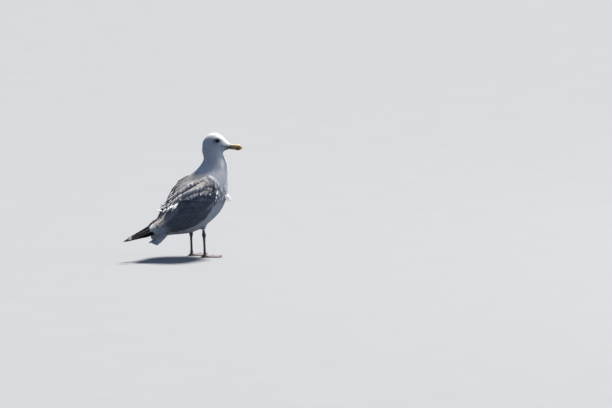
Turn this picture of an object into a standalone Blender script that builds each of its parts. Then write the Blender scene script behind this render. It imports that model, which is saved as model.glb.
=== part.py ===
"""A herring gull standing alert, at life size: a still display model in the parts that a person would name.

Blender 4.5, metres, +Z up. The gull faces +X, its left side is +Y, and it stands on the floor at Z = 0.
Every shape is first made facing straight ahead; turn_head() then turns the head to the gull's right.
Run with: blender --background --python part.py
"""

import math

import bmesh
import bpy
import numpy as np
from mathutils import Vector

MM = 0.001
GAP = 0.3 * MM  # air between neighbouring pieces

# ---------------------------------------------------------------- driving dimensions
HEAD_TURN = math.radians(27)  # the head looks to the gull's right
TURN_AXIS_X = 52 * MM  # the upright axis of the neck
TURN_FROM_Z = 262 * MM  # below this the neck follows the trunk
TURN_TO_Z = 322 * MM  # above this the head is fully turned

EYE_AT = Vector((62.5, 18.0, 355.8)) * MM
EYE_RADIUS = 6.4 * MM

LEG_SPREAD = 27 * MM  # each leg from the middle plane
ANKLE_HEIGHT = 69 * MM
FOOT_TOP = 8 * MM
TIBIA_TOP = 104 * MM
ANKLE_X = {"right": 2 * MM, "left": -13 * MM}
FOOT_X = {"right": 5 * MM, "left": -11 * MM}

TOES = {  # name: (length without claw, angle away from the middle plane in degrees)
    "inner": (41 * MM, -27),
    "middle": (52 * MM, 2),
    "outer": (48 * MM, 30),
}
TOE_HALF_WIDTH = 3.1 * MM
HIND_TOE_TIP_RADIUS = 1.7 * MM
HIND_CLAW_TIP_RADIUS = 0.4 * MM
TOE_HEIGHT = 4.6 * MM
WEB_THICKNESS = 1.2 * MM
WEB_LIFT = 0.5 * MM  # the webs arch this far off the floor between the toe pads
WEB_NOTCH = 0.13  # how far the web's edge curves in between two toes
TOE_STEPS = (0.1, 0.22, 0.38, 0.55, 0.72, 0.88, 1.0)  # along a toe, as shares of its length
TOE_TAPER = 0.42  # a toe's tip is lower than its root by this share
FREE_SIDE = 9  # degrees that the fan goes on past the outer toes
HEEL_RISE = 3.4 * MM
HIND_TOE_ROOT = Vector((-4, 0, 5.5)) * MM  # from the heel
CLAW_LENGTH = 7.5 * MM

WING_EDGE = 1.6 * MM
WING_TUCK = 3 * MM  # how far a wing's inner wall starts inside the trunk, before it is cut away
TAIL_THICKNESS = 3.6 * MM

RING = 30  # points round the neck and trunk
HEAD_RING = 32

# Stations of the body. Each is a slanted slice through the middle plane: the x and z of its lowest point,
# the x and z of its highest point, half its width, and how high up it is widest, as a share. Millimetres.
COVER = [  # the hollow shape behind the rump that the folded wings close over
    (-160, 70, -170, 100, 14, 0.5),
    (-147, 72, -158, 107, 20, 0.5),
    (-134, 74, -144, 115, 26, 0.5),
]
RUMP = [  # the coverts that close over the root of the tail, below the folded wings
    (-153, 58, -158, 82, 16, 0.5),
    (-137, 66, -146, 108, 24, 0.5),
]
TRUNK = [
    (-119, 74, -131, 122, 32, 0.5),
    (-96, 75, -118, 142, 43, 0.5),
    (-66, 75, -101, 167, 54, 0.5),
    (-32, 77, -82, 195, 63, 0.52),
    (3, 88, -62, 222, 67, 0.54),  # over the legs
    (37, 110, -41, 242, 67, 0.54),
    (65, 134, -20, 257, 64, 0.52),  # breast
    (85, 168, -3, 267, 59, 0.5),
    (93, 208, 9, 275, 53, 0.5),
]
NECK = [
    (95, 246, 19, 284, 46, 0.5),
    (94.5, 272, 25, 295, 40, 0.5),
    (90.5, 292, 24.5, 305, 34, 0.5),
    (82, 308, 20.5, 318, 30.5, 0.5),
]
HEAD = [
    (80.5, 316.5, 17.5, 330, 28.5, 0.46),  # throat and nape
    (81.5, 320, 18.5, 352, 26.5, 0.44),
    (83, 322.5, 33.5, 372, 25, 0.44),
    (85, 324.3, 55, 378.6, 23, 0.45),  # crown
    (87, 325.8, 76, 370.5, 19, 0.46),
    (89, 327, 91, 357.5, 14, 0.46),
    (90.5, 328, 102.6, 346.6, 9.2, 0.5),  # bill root
]
BODY = COVER + TRUNK + NECK + HEAD
TRUNK_FIRST = len(COVER)
NECK_FIRST = TRUNK_FIRST + len(TRUNK)
HEAD_FIRST = NECK_FIRST + len(NECK)

# Stations of a folded wing, from the last tertial tip to the shoulder: the body station it lies over, the
# angles round the body (0 over the spine, 90 at the flank) of its upper and lower edges, and its thickness.
WING = [
    (0.0, 20, 150, 2.5),
    (0.9, 15, 128, 4.5),
    (1.9, 12, 108, 6),
    (3.0, 11, 104, 7.5),
    (4.3, 13, 113, 9),
    (5.6, 17, 121, 10),
    (6.8, 22, 124, 10.5),
    (7.8, 27, 113, 10.5),
    (8.6, 33, 101, 9.5),
    (9.3, 40, 90, 8),
    (10.0, 50, 80, 4.5),
]
WING_SLIDE = {"right": 12 * MM, "left": 0}  # the right wing reaches further back than the left
SLIDE_FROM_X = -95 * MM
SLIDE_TO_X = -160 * MM
WING_RINGS = 19

# Stations of the bill: x and z of the ridge (or keel), x and z of the cutting edge, half the width there.
BILL_UPPER = [
    (103.0, 346.2, 97.2, 338.2, 8.2),
    (109, 345.4, 105, 337.0, 7.3),
    (116, 344.8, 114, 335.8, 6.4),
    (123, 344.0, 122, 334.8, 5.7),
    (129, 342.6, 128.5, 333.6, 5.0),
    (134.4, 339.6, 133.6, 332.6, 4.1),
    (138.2, 335.4, 137.2, 330.8, 2.8),
    (140.2, 330.8, 139.2, 328.6, 1.1),
]
BILL_LOWER = [
    (91.0, 327.8, 96.8, 337.7, 7.8),
    (102, 329.4, 105, 336.5, 6.7),
    (112, 328.6, 114, 335.3, 5.8),
    (121, 326.9, 122, 334.3, 5.2),
    (127.5, 325.6, 128.2, 333.1, 4.5),  # gonys, the bulge of the lower bill
    (132.4, 326.2, 132.6, 332.1, 3.5),
    (135.8, 328.6, 135.6, 330.8, 1.6),
]

# The folded long feathers of each wing: where their tip is, and how deep and thick the bundle is on the way.
PRIMARY_TIP = {
    "right": Vector((-270, -13, 67)) * MM,
    "left": Vector((-247, 10, 68)) * MM,
}
PRIMARY_DEPTH = [29, 25, 20, 16, 11.5, 6]
PRIMARY_THICKNESS = [7, 4.4, 3.6, 3.0, 2.2, 1.2]
PRIMARY_EDGE = 0.8 * MM
PRIMARY_SAG = 3 * MM  # how far the bundle bows upward half way
PRIMARY_TILT = math.radians(28)  # the upper edges lean in over the tail

TAIL_ROOT = Vector((-112, 0, 87)) * MM
TAIL_TIP = Vector((-172, 0, 55)) * MM
TAIL_HALF_WIDTH = [6, 10, 16, 24, 29, 27]
TAIL_DROOP = [0, 1, 3, 7, 10, 9]  # how far the outer feathers hang below the middle pair

COLOURS = {  # material: (base colour, roughness)
    "white_feather": ((0.86, 0.86, 0.85), 0.85),
    "grey_feather": ((0.42, 0.45, 0.50), 0.80),
    "black_feather": ((0.05, 0.045, 0.045), 0.60),
    "bill_horn": ((0.80, 0.55, 0.10), 0.40),
    "leg_skin": ((0.72, 0.50, 0.46), 0.55),
    "claw_horn": ((0.08, 0.06, 0.05), 0.35),
    "eye": ((0.55, 0.50, 0.28), 0.08),
}


# ---------------------------------------------------------------- helpers
def clear_scene():
    for obj in list(bpy.data.objects):
        bpy.data.objects.remove(obj)


def material(name):
    found = bpy.data.materials.get(name)
    if found:
        return found
    colour, roughness = COLOURS[name]
    made = bpy.data.materials.new(name)
    made.use_nodes = True
    shader = made.node_tree.nodes["Principled BSDF"]
    shader.inputs["Base Color"].default_value = (*colour, 1)
    shader.inputs["Roughness"].default_value = roughness
    shader.inputs["Metallic"].default_value = 0
    return made


def spline(rows, at):
    """The row of a station table at a fractional station number, on a Catmull-Rom curve through the rows."""
    rows = np.asarray(rows, float)
    i = int(min(max(math.floor(at), 0), len(rows) - 2))
    t = at - i
    before, here, there, after = rows[max(i - 1, 0)], rows[i], rows[i + 1], rows[min(i + 2, len(rows) - 1)]
    return 0.5 * (
        2 * here
        + (there - before) * t
        + (2 * before - 5 * here + 4 * there - after) * t**2
        + (3 * here - before - 3 * there + after) * t**3
    )


def spread(first, last, count):
    """count evenly spaced numbers from first to last."""
    return [first + (last - first) * i / (count - 1) for i in range(count)]


def smooth_step(value, low, high):
    t = min(max((value - low) / (high - low), 0), 1)
    return t * t * (3 - 2 * t)


def turn_head(point):
    """A point of the straight-ahead gull, turned with the neck and head."""
    angle = -HEAD_TURN * smooth_step(point.z, TURN_FROM_Z, TURN_TO_Z)
    x, y = point.x - TURN_AXIS_X, point.y
    return Vector(
        (
            TURN_AXIS_X + x * math.cos(angle) - y * math.sin(angle),
            x * math.sin(angle) + y * math.cos(angle),
            point.z,
        )
    )


def mirrored(point, side):
    """A point of the left side, or its twin on the right."""
    return Vector((point.x, point.y if side == "left" else -point.y, point.z))


def add_mesh(name, points, faces, finish, smooth_angle=40):
    mesh = bpy.data.meshes.new(name)
    mesh.from_pydata([tuple(p) for p in points], [], faces)
    work = bmesh.new()
    work.from_mesh(mesh)
    bmesh.ops.recalc_face_normals(work, faces=work.faces)
    bmesh.ops.triangulate(work, faces=work.faces)
    work.to_mesh(mesh)
    work.free()
    mesh.shade_smooth()
    mesh.set_sharp_from_angle(angle=math.radians(smooth_angle))
    obj = bpy.data.objects.new(name, mesh)
    bpy.context.scene.collection.objects.link(obj)
    mesh.materials.append(material(finish))
    return obj


def loft(name, rings, finish, smooth_angle=40):
    """One closed solid through rings of equally many points, with flat ends."""
    count = len(rings[0])
    points = [p for ring in rings for p in ring]
    faces = [tuple(range(count)), tuple(range(len(points) - count, len(points)))]
    for i in range(len(rings) - 1):
        for k in range(count):
            a, b = i * count + k, i * count + (k + 1) % count
            faces.append((a, b, b + count, a + count))
    return add_mesh(name, points, faces, finish, smooth_angle)


def cut(obj, cutter, operation="DIFFERENCE"):
    """Cuts a hidden solid out of obj, or joins it on, and keeps the result in the mesh."""
    cutter.hide_render = True
    cutter.display_type = "WIRE"
    modifier = obj.modifiers.new(operation.title(), "BOOLEAN")
    modifier.operation = operation
    modifier.solver = "EXACT"
    modifier.object = cutter
    graph = bpy.context.evaluated_depsgraph_get()
    mesh = bpy.data.meshes.new_from_object(obj.evaluated_get(graph))
    obj.modifiers.remove(modifier)
    obj.data = mesh
    largest_island(obj)
    return obj


def largest_island(obj):
    """Keeps the biggest connected part of a mesh, without the crumbs that a cut can leave."""
    work = bmesh.new()
    work.from_mesh(obj.data)
    bmesh.ops.remove_doubles(work, verts=work.verts, dist=0.02 * MM)
    left, islands = set(work.verts), []
    while left:
        island, edge = set(), [left.pop()]
        while edge:
            vert = edge.pop()
            island.add(vert)
            near = {e.other_vert(vert) for e in vert.link_edges} & left
            left -= near
            edge.extend(near)
        islands.append(island)
    keep = max(islands, key=len)
    bmesh.ops.delete(work, geom=[v for v in work.verts if v not in keep], context="VERTS")
    work.to_mesh(obj.data)
    work.free()


def ellipsoid(name, centre, radii, finish, columns=14, rows=8):
    points = [centre + Vector((0, 0, radii.z))]
    for i in range(1, rows):
        tilt = math.pi * i / rows
        for k in range(columns):
            turn = math.tau * k / columns
            offset = (math.sin(tilt) * math.cos(turn), math.sin(tilt) * math.sin(turn), math.cos(tilt))
            points.append(centre + Vector([o * r for o, r in zip(offset, radii)]))
    points.append(centre - Vector((0, 0, radii.z)))
    last = len(points) - 1
    faces = [(0, 1 + (k + 1) % columns, 1 + k) for k in range(columns)]
    faces += [(last, last - columns + k, last - columns + (k + 1) % columns) for k in range(columns)]
    for i in range(rows - 2):
        for k in range(columns):
            a, b = 1 + i * columns + k, 1 + i * columns + (k + 1) % columns
            faces.append((a, b, b + columns, a + columns))
    return add_mesh(name, points, faces, finish, 180)


# ---------------------------------------------------------------- neck, trunk and head
def body_point(row, turn, grow=0.0):
    """A point of a body slice: turn is 0 over the spine, 90 degrees on the left, 180 underneath."""
    belly_x, belly_z, back_x, back_z, half_width, widest = row
    belly = Vector((belly_x, 0, belly_z)) * MM
    back = Vector((back_x, 0, back_z)) * MM
    centre = belly.lerp(back, widest)
    up, side = math.cos(turn), math.sin(turn)
    reach = (back - centre) if up > 0 else (centre - belly)
    point = centre + reach * up + Vector((0, half_width * MM * side, 0))
    outward = (point - centre).normalized()
    return point + outward * grow


def body_ring(at, count, grow=0.0):
    row = spline(BODY, at)
    return [body_point(row, math.tau * k / count, grow) for k in range(count)]


def rump_rings(count, grow=0.0):
    rows = [spline(RUMP + TRUNK[:2], at) for at in (0, 0.5, 1, 1.5)]
    return [[body_point(row, math.tau * k / count, grow) for k in range(count)] for row in rows]


def brow_and_lore(point):
    """Pinches the face before the eye and under the brow, on a straight-ahead head."""
    before_eye = math.exp(-(((point.x - EYE_AT.x - 19 * MM) / (12 * MM)) ** 2))
    at_lore = math.exp(-(((point.z - EYE_AT.z + 4 * MM) / (8 * MM)) ** 2))
    over_eye = math.exp(-(((point.x - EYE_AT.x) / (12 * MM)) ** 2))
    at_brow = math.exp(-(((point.z - EYE_AT.z - 8 * MM) / (5 * MM)) ** 2))
    share = 1 - 0.10 * before_eye * at_lore + 0.05 * over_eye * at_brow
    return Vector((point.x, point.y * share, point.z))


def make_body():
    parts = {  # name: (first station, last station, rings, points round a ring)
        "trunk": (TRUNK_FIRST, NECK_FIRST, 18, RING),
        "neck": (NECK_FIRST, HEAD_FIRST, 8, RING),
        "head": (HEAD_FIRST, len(BODY) - 1, 16, HEAD_RING),
    }
    made = {}
    for name, (first, last, rings, count) in parts.items():
        slices = [body_ring(at, count) for at in spread(first, last, rings)]
        if name == "trunk":
            slices = rump_rings(count) + slices
        for end, inner in ((0, 1), (-1, -2)):  # half the gap to the next part comes off each end
            slices[end] = [
                p + (q - p).normalized() * GAP / 2 for p, q in zip(slices[end], slices[inner])
            ]
        if name == "head":
            slices = [[brow_and_lore(p) for p in ring] for ring in slices]
        slices = [[turn_head(p) for p in ring] for ring in slices]
        made[name] = loft(name, slices, "white_feather")
    return made


def body_cutter():
    """The trunk and neck, larger by the gap, to cut what lies against them."""
    stations = spread(TRUNK_FIRST, HEAD_FIRST, 27)
    rings = rump_rings(RING, GAP) + [body_ring(at, RING, GAP) for at in stations]
    rings = [[turn_head(p) for p in ring] for ring in rings]
    return loft("body_cutter", rings, "white_feather")


def make_eyes(head):
    for side in ("left", "right"):
        centre = turn_head(mirrored(EYE_AT, side))
        socket = ellipsoid("socket_" + side, centre, Vector([EYE_RADIUS + GAP] * 3), "eye")
        cut(head, socket)
        ellipsoid("eye_" + side, centre, Vector([EYE_RADIUS] * 3), "eye")


# ---------------------------------------------------------------- bill
def bill_ring(row, half_turns=10):
    """A D-shaped slice: round over the ridge or keel, flat along the cutting edges."""
    ridge_x, ridge_z, edge_x, edge_z, half_width = row
    edge = Vector((edge_x, 0, edge_z)) * MM
    ridge = Vector((ridge_x, 0, ridge_z)) * MM
    points = []
    for k in range(half_turns + 1):
        turn = math.pi * k / half_turns
        height = math.sin(turn) ** 0.85 if 0 < k < half_turns else 0
        points.append(edge + (ridge - edge) * height + Vector((0, half_width * MM * math.cos(turn), 0)))
    points.append(edge + (ridge - edge) * 0.04)
    return points


def make_bill():
    for name, table in (("bill_upper", BILL_UPPER), ("bill_lower", BILL_LOWER)):
        rings = [bill_ring(spline(table, at)) for at in spread(0, len(table) - 1, 13)]
        loft(name, [[turn_head(p) for p in ring] for ring in rings], "bill_horn")


# ---------------------------------------------------------------- wings and tail
def slide_back(point, side):
    """A point of the rear of a folded wing, moved back along the wing by the side's own slide."""
    share = smooth_step(point.x, SLIDE_FROM_X, SLIDE_TO_X)
    return point + Vector((-1, 0, -0.25)) * WING_SLIDE[side] * share


def wing_ring(at, side, across=11):
    """A slice of a folded wing: a shell over the body slice, from its upper edge to its lower edge."""
    station, upper, lower, thickness = spline(WING, at)
    row = spline(BODY, station)
    inner = -WING_TUCK * smooth_step(station, TRUNK_FIRST - 1.2, TRUNK_FIRST + 1.0)
    outside, inside = [], []
    for share in spread(0, 1, across):
        turn = math.radians(upper + (lower - upper) * share)
        bulge = WING_EDGE + (thickness * MM - WING_EDGE) * math.sin(math.pi * share) ** 0.7
        outside.append(slide_back(mirrored(body_point(row, turn, bulge), side), side))
        inside.append(slide_back(mirrored(body_point(row, turn, inner), side), side))
    return outside + inside[::-1]


def make_wing(side, cutter):
    rings = [wing_ring(at, side) for at in spread(0, len(WING) - 1, WING_RINGS)]
    wing = loft("wing_" + side, rings, "grey_feather")
    return cut(wing, cutter)


def make_primaries(side):
    """The long black feathers, as one tapering blade that goes on from the wing's last slice."""
    end = wing_ring(0, side)
    half = len(end) // 2
    root = sum(end, Vector()) / len(end)
    tip = PRIMARY_TIP[side]
    along = (tip - root).normalized()
    outward = Vector((0, 1 if side == "left" else -1, math.tan(PRIMARY_TILT)))
    outward = (outward - along * along.dot(outward)).normalized()
    upward = along.cross(outward)
    if upward.z < 0:
        upward = -upward
    rings = [[p + along * GAP * 1.3 for p in end]]
    for share in spread(0.08, 1, 9):
        at = share * (len(PRIMARY_DEPTH) - 1)
        depth = spline([[d] for d in PRIMARY_DEPTH], at)[0] * MM
        thickness = spline([[t] for t in PRIMARY_THICKNESS], at)[0] * MM
        centre = root.lerp(tip, share) + Vector((0, 0, PRIMARY_SAG * math.sin(math.pi * share)))
        outside, inside = [], []
        for around in spread(0, math.pi, half):
            height = upward * depth / 2 * math.cos(around)
            out = outward * (thickness - PRIMARY_EDGE) / 2 * math.sin(around) + outward * PRIMARY_EDGE / 2
            outside.append(centre + height + out)
            inside.append(centre + height - out)
        rings.append(outside + inside[::-1])
    return loft("primaries_" + side, rings, "black_feather")


def make_tail(cutter):
    """The closed tail: a shallow roof of feathers, wider towards its square tip."""
    along = TAIL_TIP - TAIL_ROOT
    up = along.cross(Vector((0, 1, 0))).normalized()
    if up.z < 0:
        up = -up
    rings = []
    for share in spread(0, 1, 10):
        at = share * (len(TAIL_HALF_WIDTH) - 1)
        half_width = spline([[w] for w in TAIL_HALF_WIDTH], at)[0] * MM
        droop = spline([[d] for d in TAIL_DROOP], at)[0] * MM
        centre = TAIL_ROOT + along * share
        upper, under = [], []
        for across in spread(-1, 1, 11):
            # the tip's corners are a little shorter than its middle
            short = along.normalized() * (-5 * MM * abs(across) ** 3 * smooth_step(share, 0.7, 1))
            on_roof = centre + short + Vector((0, half_width * across, 0)) - up * droop * across**2
            thick = TAIL_THICKNESS * (1 - 0.55 * across**2) / 2
            upper.append(on_roof + up * thick)
            under.append(on_roof - up * thick)
        rings.append(upper + under[::-1])
    return cut(loft("tail", rings, "white_feather"), cutter)


# ---------------------------------------------------------------- legs and feet
def limb(name, stations, finish, count=12):
    """A leg piece through stations of (centre, half depth along X, half width along Y)."""
    rings = []
    for centre, depth, width in stations:
        rings.append(
            [
                centre
                + Vector((depth * math.cos(math.tau * k / count), width * math.sin(math.tau * k / count), 0))
                for k in range(count)
            ]
        )
    return loft(name, rings, finish, 60)


def make_leg(side, cutter):
    across = LEG_SPREAD if side == "left" else -LEG_SPREAD
    foot = Vector((FOOT_X[side], across, FOOT_TOP + GAP))
    ankle = Vector((ANKLE_X[side], across, ANKLE_HEIGHT))
    knee = Vector((ANKLE_X[side] - 4 * MM, across, TIBIA_TOP))
    shares = [  # (share of the way from foot to ankle, half depth, half width)
        (0, 4.6, 3.9),
        (0.06, 4.9, 4.1),
        (0.14, 3.9, 3.0),
        (0.35, 3.5, 2.5),
        (0.65, 3.5, 2.5),
        (0.84, 4.0, 2.9),
        (0.93, 5.6, 3.9),
        (1.0, 6.3, 4.4),
    ]
    stations = [(foot.lerp(ankle, s), d * MM, w * MM) for s, d, w in shares]
    for share, depth, width in ((0.1, 6.0, 4.3), (0.22, 4.6, 3.5), (0.34, 4.0, 3.2), (0.46, 4.1, 3.3)):
        stations.append((ankle.lerp(knee, share), depth * MM, width * MM))
    limb("shank_" + side, stations, "leg_skin")

    hem = stations[-1][0] + Vector((0, 0, GAP))
    hip = Vector((-14 * MM, across * 1.15, 150 * MM))
    thigh = [
        (hem, 6.0 * MM, 5.2 * MM),
        (hem.lerp(hip, 0.12), 9.5 * MM, 8.5 * MM),
        (hem.lerp(hip, 0.35), 14 * MM, 12 * MM),
        (hem.lerp(hip, 0.7), 19 * MM, 15 * MM),
    ]
    cut(limb("thigh_" + side, thigh, "white_feather", 16), cutter)


def heel_of(side):
    """The point on the floor under a leg."""
    return Vector((FOOT_X[side], LEG_SPREAD if side == "left" else -LEG_SPREAD, 0))


def toe_direction(side, degrees):
    outward = 1 if side == "left" else -1
    turn = math.radians(degrees)
    return Vector((math.cos(turn), outward * math.sin(turn), 0))


def make_foot(side):
    """Three toes joined by webs, as one fan round the heel, with a short hind toe."""
    heel = heel_of(side)
    lengths = {degrees: length for length, degrees in TOES.values()}
    angles = sorted(lengths)
    fan = []
    for low, high in zip(angles, angles[1:]):
        fan += [low, low + 0.16 * (high - low), (low + high) / 2, high - 0.16 * (high - low)]
    fan.append(angles[-1])
    fan = [angles[0] - FREE_SIDE] + fan + [angles[-1] + FREE_SIDE]
    top, sole = [], []
    for degrees in fan:
        inside = min(max(degrees, angles[0]), angles[-1])
        low = max([a for a in angles[:-1] if a <= inside])
        high = min([a for a in angles if a > low])
        share = (inside - low) / (high - low)
        reach = lengths[low] * (1 - share) + lengths[high] * share
        reach *= 1 - WEB_NOTCH * math.sin(math.pi * share)
        beyond = degrees != inside
        if beyond:
            reach *= 0.94
        nearest = min(angles, key=lambda a: abs(a - degrees))
        column_top, column_sole = [], []
        for along in TOE_STEPS:
            point = heel + toe_direction(side, degrees) * reach * along
            if beyond:  # the outer toes' free sides stay a toe's half width from their middle
                edge = heel + toe_direction(side, inside) * reach * along
                sideways = toe_direction(side, degrees) - toe_direction(side, inside)
                point = edge + sideways.normalized() * TOE_HALF_WIDTH
            off_toe = abs(math.radians(degrees - nearest)) * reach * along
            if beyond:
                off_toe = TOE_HALF_WIDTH
            pad = math.exp(-((off_toe / TOE_HALF_WIDTH) ** 2) * 1.2)
            web_top = WEB_LIFT + WEB_THICKNESS
            height = web_top + (TOE_HEIGHT - web_top) * pad * (1 - TOE_TAPER * along**2)
            height += HEEL_RISE * math.exp(-((along / 0.2) ** 2))
            lift = WEB_LIFT * (1 - pad) if off_toe > 0.9 * TOE_HALF_WIDTH else 0
            column_top.append(point + Vector((0, 0, height)))
            column_sole.append(point + Vector((0, 0, lift)))
        top.append(column_top)
        sole.append(column_sole)
    rings = [up + down[::-1] for up, down in zip(top, sole)]
    foot = loft("foot_" + side, rings, "leg_skin", 60)

    palm = limb(
        "palm_" + side,
        [
            (heel + Vector((0.5 * MM, 0, 0)), 7.5 * MM, 6.0 * MM),
            (heel + Vector((0.5 * MM, 0, 3 * MM)), 7.3 * MM, 5.8 * MM),
            (heel + Vector((0, 0, FOOT_TOP)), 4.6 * MM, 3.9 * MM),
        ],
        "leg_skin",
    )
    cut(foot, palm, "UNION")
    hind_root, hind_tip = heel + HIND_TOE_ROOT, hind_toe_tip(side)
    hind = bone_between("hind_" + side, hind_root, hind_tip, 2.6 * MM, HIND_TOE_TIP_RADIUS, "leg_skin")
    cut(foot, hind, "UNION")
    return foot


def hind_toe_tip(side):
    heel = heel_of(side)
    inward = -1 if side == "left" else 1
    return heel + Vector((-12.5, 3 * inward, HIND_TOE_TIP_RADIUS / MM)) * MM


def bone_between(name, start, end, start_radius, end_radius, finish, bend=Vector(), count=8, rings=5):
    """A tapering round piece from start to end, bowed by bend half way."""
    slices = []
    for share in spread(0, 1, rings):
        centre = start.lerp(end, share) + bend * math.sin(math.pi * share)
        ahead = (end - start) + bend * math.pi * math.cos(math.pi * share)
        aside = ahead.cross(Vector((0, 0, 1))).normalized()
        upward = aside.cross(ahead).normalized()
        radius = start_radius + (end_radius - start_radius) * share
        slices.append(
            [
                centre
                + (aside * math.cos(math.tau * k / count) + upward * math.sin(math.tau * k / count)) * radius
                for k in range(count)
            ]
        )
    return loft(name, slices, finish, 60)


def make_claws(side):
    heel = heel_of(side)
    for toe, (length, degrees) in TOES.items():
        ahead = toe_direction(side, degrees)
        start = heel + ahead * (length + GAP) + Vector((0, 0, 1.75 * MM))
        end = start + ahead * CLAW_LENGTH - Vector((0, 0, 1.2 * MM))
        bend = Vector((0, 0, 0.9 * MM))
        bone_between(f"claw_{toe}_{side}", start, end, 1.45 * MM, 0.45 * MM, "claw_horn", bend)
    tip = hind_toe_tip(side)
    back = (tip - heel - HIND_TOE_ROOT).normalized()
    start = tip + back * GAP * 1.4
    end = start + Vector((back.x, back.y, 0)).normalized() * 4.2 * MM
    end.z = HIND_CLAW_TIP_RADIUS
    bone_between(f"claw_hind_{side}", start, end, 1.3 * MM, HIND_CLAW_TIP_RADIUS, "claw_horn")


# ---------------------------------------------------------------- the whole gull
def stand_on_origin():
    """Moves the finished gull so that the origin is under the middle of its box, on the floor."""
    shown = [o for o in bpy.context.scene.objects if not o.hide_render]
    corners = [v.co for o in shown for v in o.data.vertices]
    low = Vector([min(c[i] for c in corners) for i in range(3)])
    high = Vector([max(c[i] for c in corners) for i in range(3)])
    shift = Vector(((low.x + high.x) / 2, (low.y + high.y) / 2, low.z))
    for obj in bpy.context.scene.objects:
        obj.location -= shift


def main():
    clear_scene()
    body = make_body()
    cutter = body_cutter()
    make_eyes(body["head"])
    make_bill()
    make_tail(cutter)
    for side in ("left", "right"):
        make_wing(side, cutter)
        make_primaries(side)
        make_leg(side, cutter)
        make_foot(side)
        make_claws(side)
    stand_on_origin()


main()
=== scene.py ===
"""A herring gull standing at rest, at life size: skin, plumage, bill, eyes, legs and the floor it stands on.

Blender 4.5, metres, +Z up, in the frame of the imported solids. The gull faces +X and its left side is +Y.
Marks and feathers are laid out on a bird looking straight ahead; turn_head() then turns them with the neck.
"""

import math

import bmesh
import bpy
import numpy as np
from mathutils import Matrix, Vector, noise
from mathutils.bvhtree import BVHTree


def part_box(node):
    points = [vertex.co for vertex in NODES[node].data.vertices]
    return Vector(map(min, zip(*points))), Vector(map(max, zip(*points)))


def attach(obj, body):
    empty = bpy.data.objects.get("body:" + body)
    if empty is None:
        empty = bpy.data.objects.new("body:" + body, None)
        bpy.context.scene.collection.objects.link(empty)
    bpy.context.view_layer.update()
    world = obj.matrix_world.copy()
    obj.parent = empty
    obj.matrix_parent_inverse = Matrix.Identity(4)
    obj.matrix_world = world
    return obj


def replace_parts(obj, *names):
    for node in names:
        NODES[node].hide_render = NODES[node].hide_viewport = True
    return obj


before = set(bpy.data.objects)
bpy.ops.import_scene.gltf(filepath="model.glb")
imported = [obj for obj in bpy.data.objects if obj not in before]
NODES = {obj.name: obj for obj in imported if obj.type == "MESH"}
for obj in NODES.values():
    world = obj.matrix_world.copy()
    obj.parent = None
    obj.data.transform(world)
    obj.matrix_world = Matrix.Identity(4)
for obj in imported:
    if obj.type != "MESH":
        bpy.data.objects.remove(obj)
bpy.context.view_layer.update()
MM = 0.001
SIDES = {"right": -1.0, "left": 1.0}

# ---------------------------------------------------------------- guides of the bird
NECK_AXIS_X = 121.8 * MM  # the upright axis that the head turns about
HEAD_TURN = math.radians(27)
TURN_FROM_Z, TURN_TO_Z = 262 * MM, 322 * MM

EYE_RADIUS = 6.4 * MM
SPINE = [  # x and z of the body's middle line, from the tail's root to the bill, straight ahead, millimetres
    (-120, 77), (-95, 85), (-55, 98), (-14, 121), (40, 155), (92, 195.5), (111, 217.5), (121, 241.5),
    (127, 265), (129.6, 283.5), (127, 298.5), (122, 313), (120, 325), (122, 338), (131, 347.5),
    (144, 350), (157, 344), (167, 337), (180, 331),
]
SADDLE_EDGE = [  # x and z where the grey of the back ends, seen from the side, millimetres
    (56, 290), (70, 272), (78, 260), (96, 248), (108, 238), (112, 224), (106, 208), (93, 184), (81, 158),
    (60, 132), (34, 108), (8, 98), (-25, 92), (-63, 89), (-100, 84),
]
LEDGES = [  # where rows of ruffled shoulder feathers end in a step: millimetres along and degrees round
    [(222, 36), (179, 28), (148, 18), (122, 0)],
    [(216, 58), (191, 52), (160, 40), (133, 30), (112, 20), (94, 6)],
    [(236, 62), (218, 73), (198, 67), (178, 57), (146, 50), (118, 32), (100, 22), (76, 4)],
]


def ease(values, low, high):
    """0 below low, 1 above high, and a smooth rise between them."""
    share = np.clip((np.asarray(values, float) - low) / (high - low), 0, 1)
    return share * share * (3 - 2 * share)


def bump(values, centre, width):
    """1 at the centre, fading out over the width."""
    return np.exp(-(((np.asarray(values, float) - centre) / width) ** 2))


def unit(vectors):
    vectors = np.asarray(vectors, float)
    return vectors / np.maximum(np.linalg.norm(vectors, axis=-1, keepdims=True), 1e-12)


def turn_vectors(vectors, heights, back=False):
    angle = HEAD_TURN * ease(heights, TURN_FROM_Z, TURN_TO_Z) * (1 if back else -1)
    cos, sin = np.cos(angle), np.sin(angle)
    x, y = vectors[..., 0], vectors[..., 1]
    return np.stack([x * cos - y * sin, x * sin + y * cos, vectors[..., 2]], axis=-1)


def turn_head(points, back=False):
    """Points of the straight-ahead bird, turned with the neck and head, or turned back again."""
    points = np.asarray(points, float)
    axis = np.array([NECK_AXIS_X, 0, 0])
    return turn_vectors(points - axis, points[..., 2], back) + axis


def smooth_line(points, count):
    """count points evenly spaced along a smooth curve through the given ones."""
    points = np.asarray(points, float)
    steps = np.linspace(0, len(points) - 1, len(points) * 20)
    i = np.minimum(steps.astype(int), len(points) - 2)
    t = (steps - i)[:, None]
    last = len(points) - 1
    a, b, c, d = points[np.maximum(i - 1, 0)], points[i], points[i + 1], points[np.minimum(i + 2, last)]
    curve = 0.5 * (2 * b + (c - a) * t + (2 * a - 5 * b + 4 * c - d) * t**2 + (3 * b - a - 3 * c + d) * t**3)
    run = np.concatenate([[0], np.cumsum(np.linalg.norm(np.diff(curve, axis=0), axis=1))])
    even = np.linspace(0, run[-1], count)
    return np.stack([np.interp(even, run, curve[:, k]) for k in range(curve.shape[1])], axis=1), even


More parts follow.
